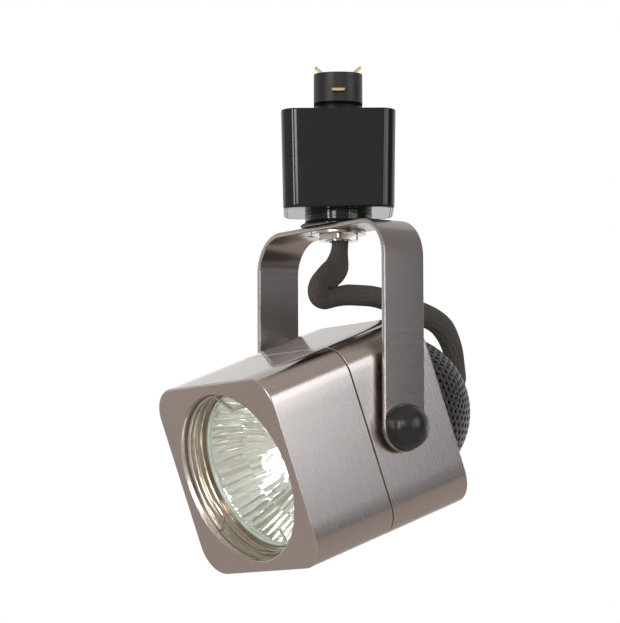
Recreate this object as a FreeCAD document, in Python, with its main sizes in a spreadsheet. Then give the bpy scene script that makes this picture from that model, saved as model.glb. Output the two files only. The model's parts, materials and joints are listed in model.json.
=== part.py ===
"""A track spotlight: a black track adapter, a swivel stem, a flat steel yoke and a square lamp head.

Every length is in millimetres. The origin is the centre of the adapter's top face, where it meets the
rail. +Z is up and +X runs along the rail. The lamp head shines along its own +Z, with +Y as its top and
+X along the pivot; the yoke's own axes are +X along the pivot, -Y to the front and +Z up.
"""
import FreeCAD, Part

import math
import os

import Sketcher

document = FreeCAD.newDocument("track_spotlight")
sheet = document.addObject("Spreadsheet::Sheet", "sheet")
Vector = FreeCAD.Vector

SIZES = {
    # how the head is aimed at rest, in degrees
    "pan_angle": -54.2,
    "tilt_angle": 21.1,
    # running gaps and fits
    "shaft_play": 0.1,
    "joint_gap": 0.3,
    "face_play": 0.05,
    "thread_play": 0.05,
    # track adapter housing
    "adapter_wide": 35.3,
    "adapter_deep": 32.0,
    "adapter_tall": 30.5,
    "foot_wide": 34.2,
    "foot_deep": 31.0,
    "adapter_corner": 5.0,
    "adapter_wall": 2.2,
    "base_rim": 1.2,
    "base_thick": 2.4,
    # neck, collar and stop post under the adapter
    "neck_radius": 10.4,
    "neck_drop": 2.1,
    "collar_radius": 11.8,
    "collar_tall": 2.3,
    "collar_lip": 0.5,
    "stop_radius": 13.7,
    "stop_post_wide": 3.0,
    "stop_post_deep": 2.0,
    "stop_post_offset": 2.0,
    "stop_post_drop": 3.7,
    # insulating key that reaches through the slot of the rail
    "key_neck_radius": 7.4,
    "key_neck_rise": 2.6,
    "key_wide": 15.0,
    "key_long": 26.0,
    "key_tall": 9.0,
    "key_corner": 6.5,
    "carrier_flange_radius": 12.0,
    "carrier_flange_thick": 2.5,
    # copper contacts
    "contact_wide": 4.0,
    "contact_thick": 0.8,
    "contact_riser": 5.4,
    "contact_reach": 15.0,
    "contact_tail": 12.0,
    "line_height": 9.4,
    "neutral_height": 5.4,
    "earth_arm": 6.8,
    "earth_rise": 3.0,
    # hollow stem with its nuts and washer
    "stem_radius": 4.0,
    "stem_bore": 3.1,
    "stem_above_nut": 0.8,
    "stem_below_nut": 0.3,
    "locknut_flats": 12.0,
    "locknut_thick": 2.4,
    "nut_flats": 12.0,
    "nut_thick": 1.8,
    "washer_radius": 8.5,
    "washer_thick": 1.0,
    # yoke
    "strap_wide": 15.0,
    "strap_thick": 1.5,
    "bend_radius": 12.0,
    "pivot_drop": 99.1,
    "stop_bump_radius": 1.5,
    "stop_bump_rise": 1.4,
    "stop_dimple_radius": 1.2,
    "stop_dimple_deep": 1.0,
    # lamp head housing
    "head_corner": 9.3,
    "front_reach": 41.5,
    "seam_reach": 10.9,
    "seam_gap": 0.4,
    "front_wall": 1.8,
    "face_wall": 2.0,
    "mouth_step": 0.3,
    "rear_wall": 3.0,
    "back_wall": 2.0,
    "spigot_fit": 0.15,
    "spigot_long": 3.0,
    # long screws, their posts in the front shell and bosses in the rear shell
    "post_inset": 7.1,
    "post_radius": 3.0,
    "boss_radius": 3.4,
    "boss_tall": 3.2,
    "screw_radius": 1.5,
    "screw_head_radius": 2.7,
    "screw_head_tall": 1.1,
    "screw_reach": 37.3,
    "screw_socket": 1.2,
    # lamp cup and its wire ring
    "cup_room": 1.2,
    "cup_wall": 1.2,
    "cup_flange_wide": 1.6,
    "cup_flange_thick": 1.4,
    "cup_bead": 0.7,
    "cup_bead_wide": 1.6,
    "cup_bead_step": 2.6,
    "cup_bead_start": 3.2,
    "lamp_seat_wide": 1.3,
    "lamp_seat_thick": 1.4,
    "wire_radius": 0.5,
    "ring_setback": 0.7,
    "ring_kink_depth": 4.6,
    "ring_leg": 5.4,
    # reflector lamp
    "lamp_setback": 9.0,
    "lamp_rim_radius": 25.0,
    "lamp_rim_tall": 2.1,
    "lamp_long": 46.8,
    "lamp_foot_play": 0.2,
    "lens_inset": 1.6,
    "lens_thick": 1.3,
    "glass_thick": 1.4,
    "bowl_inset": 2.2,
    "bowl_deep": 19.0,
    "lamp_neck_radius": 9.6,
    "lamp_neck_long": 5.5,
    "capsule_radius": 4.6,
    "capsule_long": 15.5,
    "lamp_base_radius": 9.8,
    "lamp_foot_radius": 8.6,
    "lamp_foot_tall": 5.5,
    "pin_pitch": 10.0,
    "pin_radius": 1.2,
    "pin_long": 4.5,
    "pin_head_radius": 2.4,
    "pin_head_tall": 2.0,
    # lamp holder and its bracket
    "socket_radius": 14.2,
    "socket_tall": 16.5,
    "socket_corner": 1.5,
    "socket_step": 1.0,
    "bracket_room": 0.7,
    "bracket_thick": 1.2,
    "bracket_window": 17.0,
    "bracket_window_offset": 32.0,
    "socket_screw_offset": 11.8,
    "socket_screw_long": 8.0,
    # perforated rear dome
    "dome_flange_wide": 2.4,
    "dome_skirt": 2.0,
    "dome_thick": 0.8,
    "vent_radius": 1.5,
    "first_vent_angle": 26.0,
    "vent_angle_step": 16.5,
    "vent_pitch": 7.0,
    # grommet at the top of the dome
    "bush_radius": 4.4,
    "bush_lip_radius": 5.2,
    "bush_lip_thick": 0.7,
    "bush_play": 0.15,
    # pivot
    "stud_radius": 2.5,
    "stud_inside": 7.5,
    "knob_radius": 7.2,
    "knob_skirt": 0.4,
    "knob_bore_deep": 5.0,
    "spacer_radius": 5.6,
    "spacer_thick": 1.85,
    "pivot_nut_flats": 8.0,
    "pivot_nut_thick": 4.0,
    # supply cable and the leads inside it
    "cable_radius": 2.9,
    "lead_radius": 0.8,
    "lead_spread": 1.05,
}
for row, (alias, number) in enumerate(SIZES.items(), start=1):
    sheet.set(f"A{row}", alias.replace("_", " "))
    sheet.set(f"B{row}", str(number))
    sheet.setAlias(f"B{row}", alias)
document.recompute()

# levels of the adapter and stem, from the rail face downwards
ADAPTER_FOOT = "(-sheet.adapter_tall)"
BASE_TOP = f"({ADAPTER_FOOT} + sheet.base_thick)"
NECK_FOOT = f"({ADAPTER_FOOT} - sheet.neck_drop)"
YOKE_TOP = f"({NECK_FOOT} - sheet.collar_tall)"
YOKE_UNDER = f"({YOKE_TOP} - sheet.strap_thick)"
WASHER_UNDER = f"({YOKE_UNDER} - sheet.washer_thick)"
NUT_UNDER = f"({WASHER_UNDER} - sheet.nut_thick)"
STEM_HOLE = "(sheet.stem_radius + sheet.shaft_play)"

# levels of the head, along the beam from the pivot
FACE_BACK = "(sheet.front_reach - sheet.face_wall)"
FRONT_SEAM = "(sheet.seam_reach + sheet.seam_gap / 2)"
REAR_SEAM = "(sheet.seam_reach - sheet.seam_gap / 2)"
LAMP_FRONT = "(sheet.front_reach - sheet.lamp_setback)"
LAMP_RIM_BACK = f"({LAMP_FRONT} - sheet.lamp_rim_tall)"
BOWL_BACK = f"({LAMP_RIM_BACK} - sheet.bowl_deep)"
LAMP_NECK_BACK = f"({BOWL_BACK} - sheet.lamp_neck_long)"
LAMP_FOOT = f"({LAMP_FRONT} - sheet.lamp_long)"
BRACKET_BACK = f"({LAMP_FOOT} - sheet.lamp_foot_play)"
BRACKET_FRONT = f"({BRACKET_BACK} + sheet.bracket_thick)"
BACK_INSIDE = f"({BRACKET_BACK} - sheet.boss_tall)"
BACK = f"({BACK_INSIDE} - sheet.back_wall)"
SOCKET_BACK = f"({BRACKET_BACK} - sheet.socket_tall)"
DOME_CENTRE = f"({BACK} - sheet.dome_skirt)"
STUD_HOLE = "(sheet.stud_radius + sheet.shaft_play)"

# distances from the beam, outwards from the lamp that the head is made for
CUP_BORE = "(sheet.lamp_rim_radius + sheet.cup_room)"
CUP_FLANGE = f"({CUP_BORE} + sheet.cup_flange_wide)"
HALF_HEAD = f"({CUP_FLANGE} + sheet.joint_gap + sheet.front_wall)"
HEAD_SIZE = f"(2 * {HALF_HEAD})"
POST_OFFSET = f"({HALF_HEAD} - sheet.post_inset)"
DOME_FLANGE = f"({HALF_HEAD} - sheet.rear_wall - sheet.joint_gap)"
DOME_RADIUS = f"({DOME_FLANGE} - sheet.dome_flange_wide)"
DOME_APEX = f"({DOME_CENTRE} - {DOME_RADIUS})"
ARM_INSIDE = f"({HALF_HEAD} + sheet.spacer_thick + sheet.face_play)"
ARM_OUTSIDE = f"({ARM_INSIDE} + sheet.strap_thick)"
YOKE_WIDE = f"(2 * {ARM_OUTSIDE})"

# where each group of pieces stands
ADAPTER = "placement(vector(0; 0; 0); rotation(0; 0; 0))"
YOKE = "placement(vector(0; 0; 0); rotation(sheet.pan_angle; 0; 0))"
HEAD = "placement(vector(0; 0; -sheet.pivot_drop); rotation(sheet.pan_angle; 0; 90 + sheet.tilt_angle))"
SIDES = {
    "left": HEAD + " * placement(vector(0; 0; 0); rotation(0; -90; 0))",
    "right": HEAD + " * placement(vector(0; 0; 0); rotation(0; 90; 0))",
}

pieces = []


def size(expression):
    """The number that an expression over the sheet gives."""
    return float(sheet.evalExpression(expression))


def new_body(name, frame):
    """A sub-part: a body with its own name, standing in its group's frame."""
    body = document.addObject("PartDesign::Body", name)
    body.Label = name
    body.setExpression("Placement", frame)
    pieces.append(body)
    return body


def new_sketch(body, plane="XY_Plane", lift="0"):
    """An empty sketch on one of the body's own planes, lifted along that plane's normal."""
    flat = body.newObject("Sketcher::SketchObject", body.Name + "_sketch")
    origin_plane = [part for part in body.Origin.OriginFeatures if part.Role == plane]
    flat.AttachmentSupport = [(origin_plane[0], "")]
    flat.MapMode = "FlatFace"
    flat.setExpression("AttachmentOffset.Base.z", lift)
    return flat


def bind(flat, kind, references, expression):
    """Adds a dimension to a sketch and ties it to the sheet."""
    dimension = flat.addConstraint(Sketcher.Constraint(kind, *references, size(expression)))
    flat.setExpression(f"Constraints[{dimension}]", expression)


def pin_down(flat, edge, end, x, y):
    """Fixes one end, or the centre, of an edge at x, y."""
    bind(flat, "DistanceX", (-1, 1, edge, end), x)
    bind(flat, "DistanceY", (-1, 1, edge, end), y)


def outline(flat, corners):
    """A closed loop through corners (x, y) or (x, y, radius).

    A radius makes the edge to the next corner an arc whose centre lies on the left of the way there,
    or on the right if the radius is written with a minus sign in front.
    """
    ends = []
    for index, corner in enumerate(corners):
        following = corners[(index + 1) % len(corners)]
        start = Vector(size(corner[0]), size(corner[1]), 0)
        finish = Vector(size(following[0]), size(following[1]), 0)
        if len(corner) == 2:
            edge = flat.addGeometry(Part.LineSegment(start, finish), False)
            ends.append((edge, 1, 2))
            continue
        radius = abs(size(corner[2]))
        leftwards = size(corner[2]) > 0
        half = (finish - start) * 0.5
        rise = math.sqrt(max(radius**2 - half.Length**2, 0))
        normal = Vector(-half.y, half.x, 0).normalize()
        centre = start + half + normal * (rise if leftwards else -rise)
        first, last = (start, finish) if leftwards else (finish, start)
        angles = [math.atan2(end.y - centre.y, end.x - centre.x) for end in (first, last)]
        circle = Part.Circle(centre, Vector(0, 0, 1), radius)
        edge = flat.addGeometry(Part.ArcOfCircle(circle, angles[0], angles[1]), False)
        ends.append((edge, 1, 2) if leftwards else (edge, 2, 1))
        bind(flat, "Radius", (edge,), corner[2].lstrip("-"))
    for index, (edge, start_end, finish_end) in enumerate(ends):
        next_edge, next_start, _ = ends[(index + 1) % len(ends)]
        flat.addConstraint(Sketcher.Constraint("Coincident", edge, finish_end, next_edge, next_start))
        pin_down(flat, edge, start_end, corners[index][0], corners[index][1])


def circle(flat, radius, x="0", y="0"):
    """A circle, by default about the sketch's origin."""
    edge = flat.addGeometry(Part.Circle(Vector(size(x), size(y), 0), Vector(0, 0, 1), size(radius)), False)
    bind(flat, "Radius", (edge,), radius)
    pin_down(flat, edge, 3, x, y)


def rounded_rectangle(flat, wide, tall, corner):
    """A rectangle about the sketch's origin with round corners: four arcs joined by tangent lines."""
    out_x = f"({wide}) / 2 - ({corner})"
    out_y = f"({tall}) / 2 - ({corner})"
    radius = size(corner)
    arcs = []
    for quarter, (side_x, side_y) in enumerate(((1, 1), (-1, 1), (-1, -1), (1, -1))):
        centre = Vector(side_x * size(out_x), side_y * size(out_y), 0)
        start = quarter * math.pi / 2
        arc = Part.ArcOfCircle(Part.Circle(centre, Vector(0, 0, 1), radius), start, start + math.pi / 2)
        edge = flat.addGeometry(arc, False)
        bind(flat, "Radius", (edge,), corner)
        pin_down(flat, edge, 3, f"{side_x} * ({out_x})", f"{side_y} * ({out_y})")
        arcs.append((edge, arc))
    for index, (edge, arc) in enumerate(arcs):
        next_edge, next_arc = arcs[(index + 1) % 4]
        line = flat.addGeometry(Part.LineSegment(arc.EndPoint, next_arc.StartPoint), False)
        flat.addConstraint(Sketcher.Constraint("Tangent", edge, 2, line, 1))
        flat.addConstraint(Sketcher.Constraint("Tangent", line, 2, next_edge, 1))


def hexagon(flat, flats, x="0", y="0"):
    """A hexagon of the given width across flats, with a flat facing each way along X."""
    corner = f"({flats}) / sqrt(3)"
    half = f"({flats}) / 2"
    turns = ((half, 0.5), ("0", 1), ("-" + half, 0.5), ("-" + half, -0.5), ("0", -1), (half, -0.5))
    outline(flat, [(f"{x} + {out}", f"{y} + {up} * {corner}") for out, up in turns])


def four_corners(offset):
    """The four places at plus and minus an offset both ways."""
    return [(f"{x} * {offset}", f"{y} * {offset}") for x in (-1, 1) for y in (-1, 1)]


def extrude(body, kind, flat, length, backwards=False, both_ways=False):
    """A Pad or Pocket of a sketch; both_ways centres its length on the sketch."""
    feature = body.newObject("PartDesign::" + kind, body.Name + "_" + kind.lower())
    feature.Profile = flat
    feature.setExpression("Length", length)
    feature.Reversed = backwards
    if both_ways:
        feature.SideType = "Symmetric"
    flat.Visibility = False
    document.recompute()
    return feature


def pad(body, flat, length, **how):
    """Material added along the sketch's normal."""
    return extrude(body, "Pad", flat, length, **how)


def pocket(body, flat, length, **how):
    """Material cut away against the sketch's normal; it must take something off."""
    before = body.Shape.Volume
    feature = extrude(body, "Pocket", flat, length, **how)
    if body.Shape.Volume >= before - 1e-6:
        raise ValueError(f"a pocket of {body.Label} cuts nothing")
    return feature


def turn(body, corners, kind="Revolution"):
    """A profile of (radius, height) corners turned once round the body's Z axis."""
    flat = new_sketch(body, "XZ_Plane")
    outline(flat, corners)
    feature = body.newObject("PartDesign::" + kind, body.Name + "_" + kind.lower())
    feature.Profile = flat
    feature.ReferenceAxis = (flat, ["V_Axis"])
    feature.Angle = 360
    document.recompute()
    return feature


def fillet(body, edges, radius):
    """Rounds the edges of the body's last feature that a test picks out."""
    base = body.Tip
    names = [f"Edge{index}" for index, edge in enumerate(base.Shape.Edges, start=1) if edges(edge)]
    feature = body.newObject("PartDesign::Fillet", body.Name + "_fillet")
    feature.Base = (base, names)
    feature.setExpression("Radius", radius)
    document.recompute()
    return feature


def drilled_disc(name, frame, radius, hole, bottom, thick):
    """A plain ring, such as a washer or a spacer."""
    body = new_body(name, frame)
    flat = new_sketch(body, lift=bottom)
    circle(flat, radius)
    circle(flat, hole)
    pad(body, flat, thick)
    return body


def hex_nut(name, frame, flats, hole, bottom, thick):
    """A hexagonal nut."""
    body = new_body(name, frame)
    flat = new_sketch(body, lift=bottom)
    hexagon(flat, flats)
    circle(flat, hole)
    pad(body, flat, thick)
    return body


def route_wire(points, bends=0.45):
    """Straight runs through the points, joined by tangent arcs, with the radius of each arc printed."""
    edges = []
    begin = points[0]
    for before, corner, after in zip(points, points[1:], points[2:]):
        into = corner - before
        out = after - corner
        turning = into.getAngle(out)
        shorter = min(into.Length, out.Length)
        tangent = bends * shorter
        radius = tangent / math.tan(turning / 2)
        print(f"  bend of {math.degrees(turning):5.1f} degrees, radius {radius:6.1f}")
        into.normalize()
        out.normalize()
        first = corner - into * tangent
        last = corner + out * tangent
        chord_middle = (first + last) * 0.5
        to_corner = (corner - chord_middle).normalize()
        centre_to_corner = radius / math.cos(turning / 2)
        middle = corner - to_corner * (centre_to_corner - radius)
        edges.append(Part.LineSegment(begin, first).toShape())
        edges.append(Part.Arc(first, middle, last).toShape())
        begin = last
    edges.append(Part.LineSegment(begin, points[-1]).toShape())
    return Part.Wire(edges)


def bar(path, radius, sides=0):
    """A solid swept along a path, round or with so many sides, and its volume against section times length."""
    start = path.OrderedVertexes[0].Point
    heading = path.OrderedEdges[0].tangentAt(path.OrderedEdges[0].FirstParameter)
    if sides:
        turned = FreeCAD.Rotation(Vector(0, 0, 1), heading)
        bearings = [2 * math.pi * side / sides for side in range(sides + 1)]
        rim = [Vector(radius * math.cos(bearing), radius * math.sin(bearing), 0) for bearing in bearings]
        section = Part.makePolygon([start + turned.multVec(corner) for corner in rim])
        area = sides * radius**2 * math.sin(2 * math.pi / sides) / 2
    else:
        section = Part.Wire([Part.makeCircle(radius, start, heading)])
        area = math.pi * radius**2
    solid = path.makePipeShell([section], True, False, 1 if sides else 2)
    share = solid.Volume / (area * path.Length)
    print(f"  length {path.Length:.1f}, volume {share:.3f} of section times length")
    return solid


def new_feature(name, shape, frame):
    """A sub-part whose shape is worked out here and then placed in its group's frame."""
    feature = document.addObject("Part::Feature", name)
    feature.Label = name
    feature.Shape = shape
    feature.setExpression("Placement", frame)
    pieces.append(feature)
    return feature


# ---------------------------------------------------------------- track adapter


def make_adapter_housing():
    """A moulded box that narrows towards its foot, open below, with a round hole for the key's neck."""
    body = new_body("adapter_housing", ADAPTER)
    top = new_sketch(body)
    rounded_rectangle(top, "sheet.adapter_wide", "sheet.adapter_deep", "sheet.adapter_corner")
    foot = new_sketch(body, lift=ADAPTER_FOOT)
    rounded_rectangle(foot, "sheet.foot_wide", "sheet.foot_deep", "sheet.adapter_corner")
    walls = body.newObject("PartDesign::AdditiveLoft", "adapter_housing_walls")
    walls.Profile = top
    walls.Sections = [foot]
    walls.Ruled = True
    document.recompute()
    for inset, deep in (
        ("sheet.adapter_wall", "sheet.adapter_tall - sheet.adapter_wall"),
        ("sheet.base_rim", "sheet.base_thick"),
    ):
        flat = new_sketch(body, lift=ADAPTER_FOOT)
        wide = f"sheet.foot_wide - 2 * {inset}"
        tall = f"sheet.foot_deep - 2 * {inset}"
        rounded_rectangle(flat, wide, tall, f"sheet.adapter_corner - {inset}")
        pocket(body, flat, deep, backwards=True)
    flat = new_sketch(body)
    circle(flat, "sheet.key_neck_radius + sheet.shaft_play")
    pocket(body, flat, "sheet.adapter_wall + 1")


def make_adapter_base():
    """The plate that closes the adapter, with the round neck and the post that stops the yoke."""
    body = new_body("adapter_base", ADAPTER)
    inset = "(sheet.base_rim + sheet.face_play)"
    flat = new_sketch(body, lift=ADAPTER_FOOT)
    wide = f"sheet.foot_wide - 2 * {inset}"
    tall = f"sheet.foot_deep - 2 * {inset}"
    rounded_rectangle(flat, wide, tall, f"sheet.adapter_corner - {inset}")
    pad(body, flat, "sheet.base_thick")
    flat = new_sketch(body, lift=ADAPTER_FOOT)
    circle(flat, "sheet.neck_radius")
    pad(body, flat, "sheet.neck_drop", backwards=True)
    flat = new_sketch(body, lift=ADAPTER_FOOT)
    left = "sheet.stop_post_offset"
    right = f"{left} + sheet.stop_post_wide"
    near = "sheet.stop_radius - sheet.stop_post_deep + 0.5"
    far = f"{near} + sheet.stop_post_deep"
    outline(flat, [(left, near), (right, near), (right, far), (left, far)])
    pad(body, flat, "sheet.stop_post_drop", backwards=True)
    flat = new_sketch(body, lift=BASE_TOP)
    circle(flat, STEM_HOLE)
    pocket(body, flat, "sheet.base_thick + sheet.neck_drop + 1")


CONTACT_INSIDE = "sheet.contact_riser"
CONTACT_OUTSIDE = "(sheet.contact_riser + sheet.contact_thick)"


def contact_profile(side, height, gap, end):
    """The angle that a contact takes: a riser in the key's neck, then a tongue out to the rail."""
    tail = "-sheet.contact_tail"
    low = f"{height} - {gap}"
    high = f"{height} + sheet.contact_thick + {gap}"
    across = [f"{CONTACT_INSIDE} - {gap}", f"{CONTACT_OUTSIDE} + {gap}", end]
    inner, outer, tip = [f"{side} * ({place})" for place in across]
    return [(inner, tail), (outer, tail), (outer, low), (tip, low), (tip, high), (inner, high)]


def earth_profile(gap):
    """The earth strip: a riser through the middle of the key and two springs that bend up over it."""
    half = f"(sheet.contact_thick / 2 + {gap})"
    top = "(sheet.key_neck_rise + sheet.key_tall)"
    lift = f"({top} + sheet.contact_thick)"
    bend = "(sheet.earth_arm * 0.55)"
    tip = f"({top} + sheet.earth_rise)"
    tail = "-sheet.contact_tail"
    right = [
        (half, tail),
        (half, top),
        (bend, top),
        ("sheet.earth_arm + 0.5", tip),
        ("sheet.earth_arm", f"{tip} + 0.5"),
        (f"{bend} - 0.2", lift),
    ]
    left = [(f"-({x})", y) for x, y in reversed(right)]
    return right + left


CONTACTS = (("line_contact", 1, "sheet.line_height"), ("neutral_contact", -1, "sheet.neutral_height"))


def make_contact_carrier():
    """The insulating key: a flange inside the housing, a neck through its top and a bar over the lips."""
    body = new_body("contact_carrier", ADAPTER)
    flange_top = "-sheet.adapter_wall"
    flange_under = f"{flange_top} - sheet.carrier_flange_thick"
    turn(
        body,
        [
            ("0", flange_under),
            ("sheet.carrier_flange_radius", flange_under),
            ("sheet.carrier_flange_radius", flange_top),
            ("sheet.key_neck_radius", flange_top),
            ("sheet.key_neck_radius", "sheet.key_neck_rise"),
            ("0", "sheet.key_neck_rise"),
        ],
    )
    flat = new_sketch(body, lift="sheet.key_neck_rise")
    rounded_rectangle(flat, "sheet.key_wide", "sheet.key_long", "sheet.key_corner")
    pad(body, flat, "sheet.key_tall")
    slot_wide = "sheet.contact_wide + 2 * sheet.face_play"
    for _, side, height in CONTACTS:
        flat = new_sketch(body, "YZ_Plane")
        outline(flat, contact_profile(side, height, "sheet.face_play", "(sheet.key_long / 2 + 1)"))
        pocket(body, flat, slot_wide, both_ways=True)
    flat = new_sketch(body, lift=f"{flange_under} - 1")
    half = "(sheet.contact_thick / 2 + sheet.face_play)"
    deep = "(sheet.contact_wide / 2 + sheet.face_play)"
    outline(flat, [(f"-{half}", f"-{deep}"), (half, f"-{deep}"), (half, deep), (f"-{half}", deep)])
    pocket(body, flat, "50", backwards=True)


def make_contacts():
    """The line and neutral tongues, at their two heights, and the earth strip over the key."""
    for name, side, height in CONTACTS:
        body = new_body(name, ADAPTER)
        flat = new_sketch(body, "YZ_Plane")
        outline(flat, contact_profile(side, height, "0", "sheet.contact_reach"))
        pad(body, flat, "sheet.contact_wide", both_ways=True)
    body = new_body("ground_contact", ADAPTER)
    flat = new_sketch(body, "XZ_Plane")
    outline(flat, earth_profile("0"))
    pad(body, flat, "sheet.contact_wide", both_ways=True)


def make_stem():
    """The hollow stem, the nuts at its two ends, the collar round it and the washer under the yoke."""
    locknut_top = f"({BASE_TOP} + sheet.locknut_thick)"
    bottom = f"{NUT_UNDER} - sheet.stem_below_nut"
    long = f"({locknut_top} + sheet.stem_above_nut) - ({bottom})"
    drilled_disc("stem_nipple", ADAPTER, "sheet.stem_radius", "sheet.stem_bore", bottom, long)
    thread = "sheet.stem_radius + sheet.thread_play"
    hex_nut("stem_locknut", ADAPTER, "sheet.locknut_flats", thread, BASE_TOP, "sheet.locknut_thick")
    hex_nut("stem_nut", ADAPTER, "sheet.nut_flats", thread, NUT_UNDER, "sheet.nut_thick")
    washer = ("sheet.washer_radius", STEM_HOLE, WASHER_UNDER, "sheet.washer_thick")
    drilled_disc("friction_washer", ADAPTER, *washer)
    body = new_body("swivel_collar", ADAPTER)
    turn(
        body,
        [
            (STEM_HOLE, YOKE_TOP),
            ("sheet.collar_radius", YOKE_TOP),
            ("sheet.collar_radius", f"{YOKE_TOP} + sheet.collar_lip"),
            ("sheet.neck_radius - 0.2", f"{YOKE_TOP} + sheet.collar_tall / 2"),
            ("sheet.neck_radius - 0.2", NECK_FOOT),
            (STEM_HOLE, NECK_FOOT),
        ],
    )


# ---------------------------------------------------------------- yoke


def make_yoke():
    """A steel strap bent to an inverted U, with round arm ends and a half-pierced stop bump on top."""
    body = new_body("yoke", YOKE)
    half_strap = "sheet.strap_wide / 2"
    pivot = "-sheet.pivot_drop"
    flat = new_sketch(body, "YZ_Plane")
    outline(
        flat,
        [(f"-{half_strap}", pivot), (half_strap, pivot), (half_strap, YOKE_TOP), (f"-{half_strap}", YOKE_TOP)],
    )
    pad(body, flat, YOKE_WIDE, both_ways=True)
    flat = new_sketch(body, "YZ_Plane")
    circle(flat, half_strap, "0", pivot)
    pad(body, flat, YOKE_WIDE, both_ways=True)
    corner_x = size(ARM_OUTSIDE)
    corner_z = size(YOKE_TOP)

    def is_top_corner(edge):
        """True for the two edges where the top plate meets an arm."""
        box = edge.BoundBox
        at_side = abs(abs(box.Center.x) - corner_x) < 0.01
        return at_side and box.XLength < 0.01 and abs(box.ZMin - corner_z) < 0.01

    fillet(body, is_top_corner, "sheet.bend_radius")
    flat = new_sketch(body, "XZ_Plane")
    inner_bend = "(sheet.bend_radius - sheet.strap_thick)"
    low = f"{pivot} - sheet.strap_wide"
    shoulder = f"({YOKE_UNDER} - {inner_bend})"
    flat_end = f"({ARM_INSIDE} - {inner_bend})"
    outline(
        flat,
        [
            (f"-{ARM_INSIDE}", low),
            (ARM_INSIDE, low),
            (ARM_INSIDE, shoulder, inner_bend),
            (flat_end, YOKE_UNDER),
            (f"-{flat_end}", YOKE_UNDER, inner_bend),
            (f"-{ARM_INSIDE}", shoulder),
        ],
    )
    pocket(body, flat, "sheet.strap_wide + 2", both_ways=True)
    flat = new_sketch(body, lift=YOKE_TOP)
    circle(flat, STEM_HOLE)
    pocket(body, flat, "sheet.strap_thick + 1")
    flat = new_sketch(body, "YZ_Plane")
    circle(flat, STUD_HOLE, "0", pivot)
    pocket(body, flat, f"{YOKE_WIDE} + 2", both_ways=True)
    flat = new_sketch(body, lift=YOKE_TOP)
    circle(flat, "sheet.stop_bump_radius", "-sheet.stop_radius")
    pad(body, flat, "sheet.stop_bump_rise")
    flat = new_sketch(body, lift=YOKE_UNDER)
    circle(flat, "sheet.stop_dimple_radius", "-sheet.stop_radius")
    pocket(body, flat, "sheet.stop_dimple_deep", backwards=True)


# ---------------------------------------------------------------- lamp head housing


def make_front_shell():
    """The front half: a square tube with a round mouth in its face and four long screw posts inside."""
    body = new_body("front_shell", HEAD)
    flat = new_sketch(body, lift=FRONT_SEAM)
    rounded_rectangle(flat, HEAD_SIZE, HEAD_SIZE, "sheet.head_corner")
    pad(body, flat, f"sheet.front_reach - {FRONT_SEAM}")
    flat = new_sketch(body, lift=FRONT_SEAM)
    inside = f"{HEAD_SIZE} - 2 * sheet.front_wall"
    rounded_rectangle(flat, inside, inside, "sheet.head_corner - sheet.front_wall")
    pocket(body, flat, f"{FACE_BACK} - {FRONT_SEAM}", backwards=True)
    flat = new_sketch(body, lift="sheet.front_reach")
    circle(flat, f"{CUP_BORE} + sheet.mouth_step")
    pocket(body, flat, "sheet.face_wall + 1")
    for radius, make, lift, long, backwards in (
        ("sheet.post_radius", pad, FACE_BACK, f"{FACE_BACK} - {BRACKET_FRONT}", True),
        ("sheet.screw_radius", pocket, BRACKET_FRONT, "sheet.screw_reach", True),
    ):
        flat = new_sketch(body, lift=lift)
        for x, y in four_corners(POST_OFFSET):
            circle(flat, radius, x, y)
        make(body, flat, long, backwards=backwards)


def make_rear_shell():
    """The rear half: a square cup with a spigot into the front half and a round hole for the dome."""
    body = new_body("rear_shell", HEAD)
    flat = new_sketch(body, lift=BACK)
    rounded_rectangle(flat, HEAD_SIZE, HEAD_SIZE, "sheet.head_corner")
    pad(body, flat, f"{REAR_SEAM} - {BACK}")
    inset = "(sheet.front_wall + sheet.spigot_fit)"
    outside = f"{HEAD_SIZE} - 2 * {inset}"
    flat = new_sketch(body, lift=REAR_SEAM)
    rounded_rectangle(flat, outside, outside, f"sheet.head_corner - {inset}")
    pad(body, flat, "sheet.spigot_long")
    inside = f"{HEAD_SIZE} - 2 * sheet.rear_wall"
    flat = new_sketch(body, lift=f"{REAR_SEAM} + sheet.spigot_long")
    rounded_rectangle(flat, inside, inside, "sheet.head_corner - sheet.rear_wall")
    pocket(body, flat, f"{REAR_SEAM} + sheet.spigot_long - {BACK_INSIDE}")
    flat = new_sketch(body, lift=BACK_INSIDE)
    for x, y in four_corners(POST_OFFSET):
        circle(flat, "sheet.boss_radius", x, y)
    pad(body, flat, "sheet.boss_tall")
    flat = new_sketch(body, lift=BACK)
    circle(flat, f"{DOME_RADIUS} + sheet.shaft_play")
    pocket(body, flat, "sheet.back_wall + 1", backwards=True)
    for radius, deep in (
        ("sheet.screw_radius + sheet.shaft_play", "sheet.back_wall + sheet.boss_tall + 1"),
        ("sheet.screw_head_radius + sheet.joint_gap", "sheet.screw_head_tall + 0.1"),
    ):
        flat = new_sketch(body, lift=BACK)
        for x, y in four_corners(POST_OFFSET):
            circle(flat, radius, x, y)
        pocket(body, flat, deep, backwards=True)
    flat = new_sketch(body, "YZ_Plane")
    circle(flat, STUD_HOLE)
    pocket(body, flat, f"{HEAD_SIZE} + 2", both_ways=True)


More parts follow.
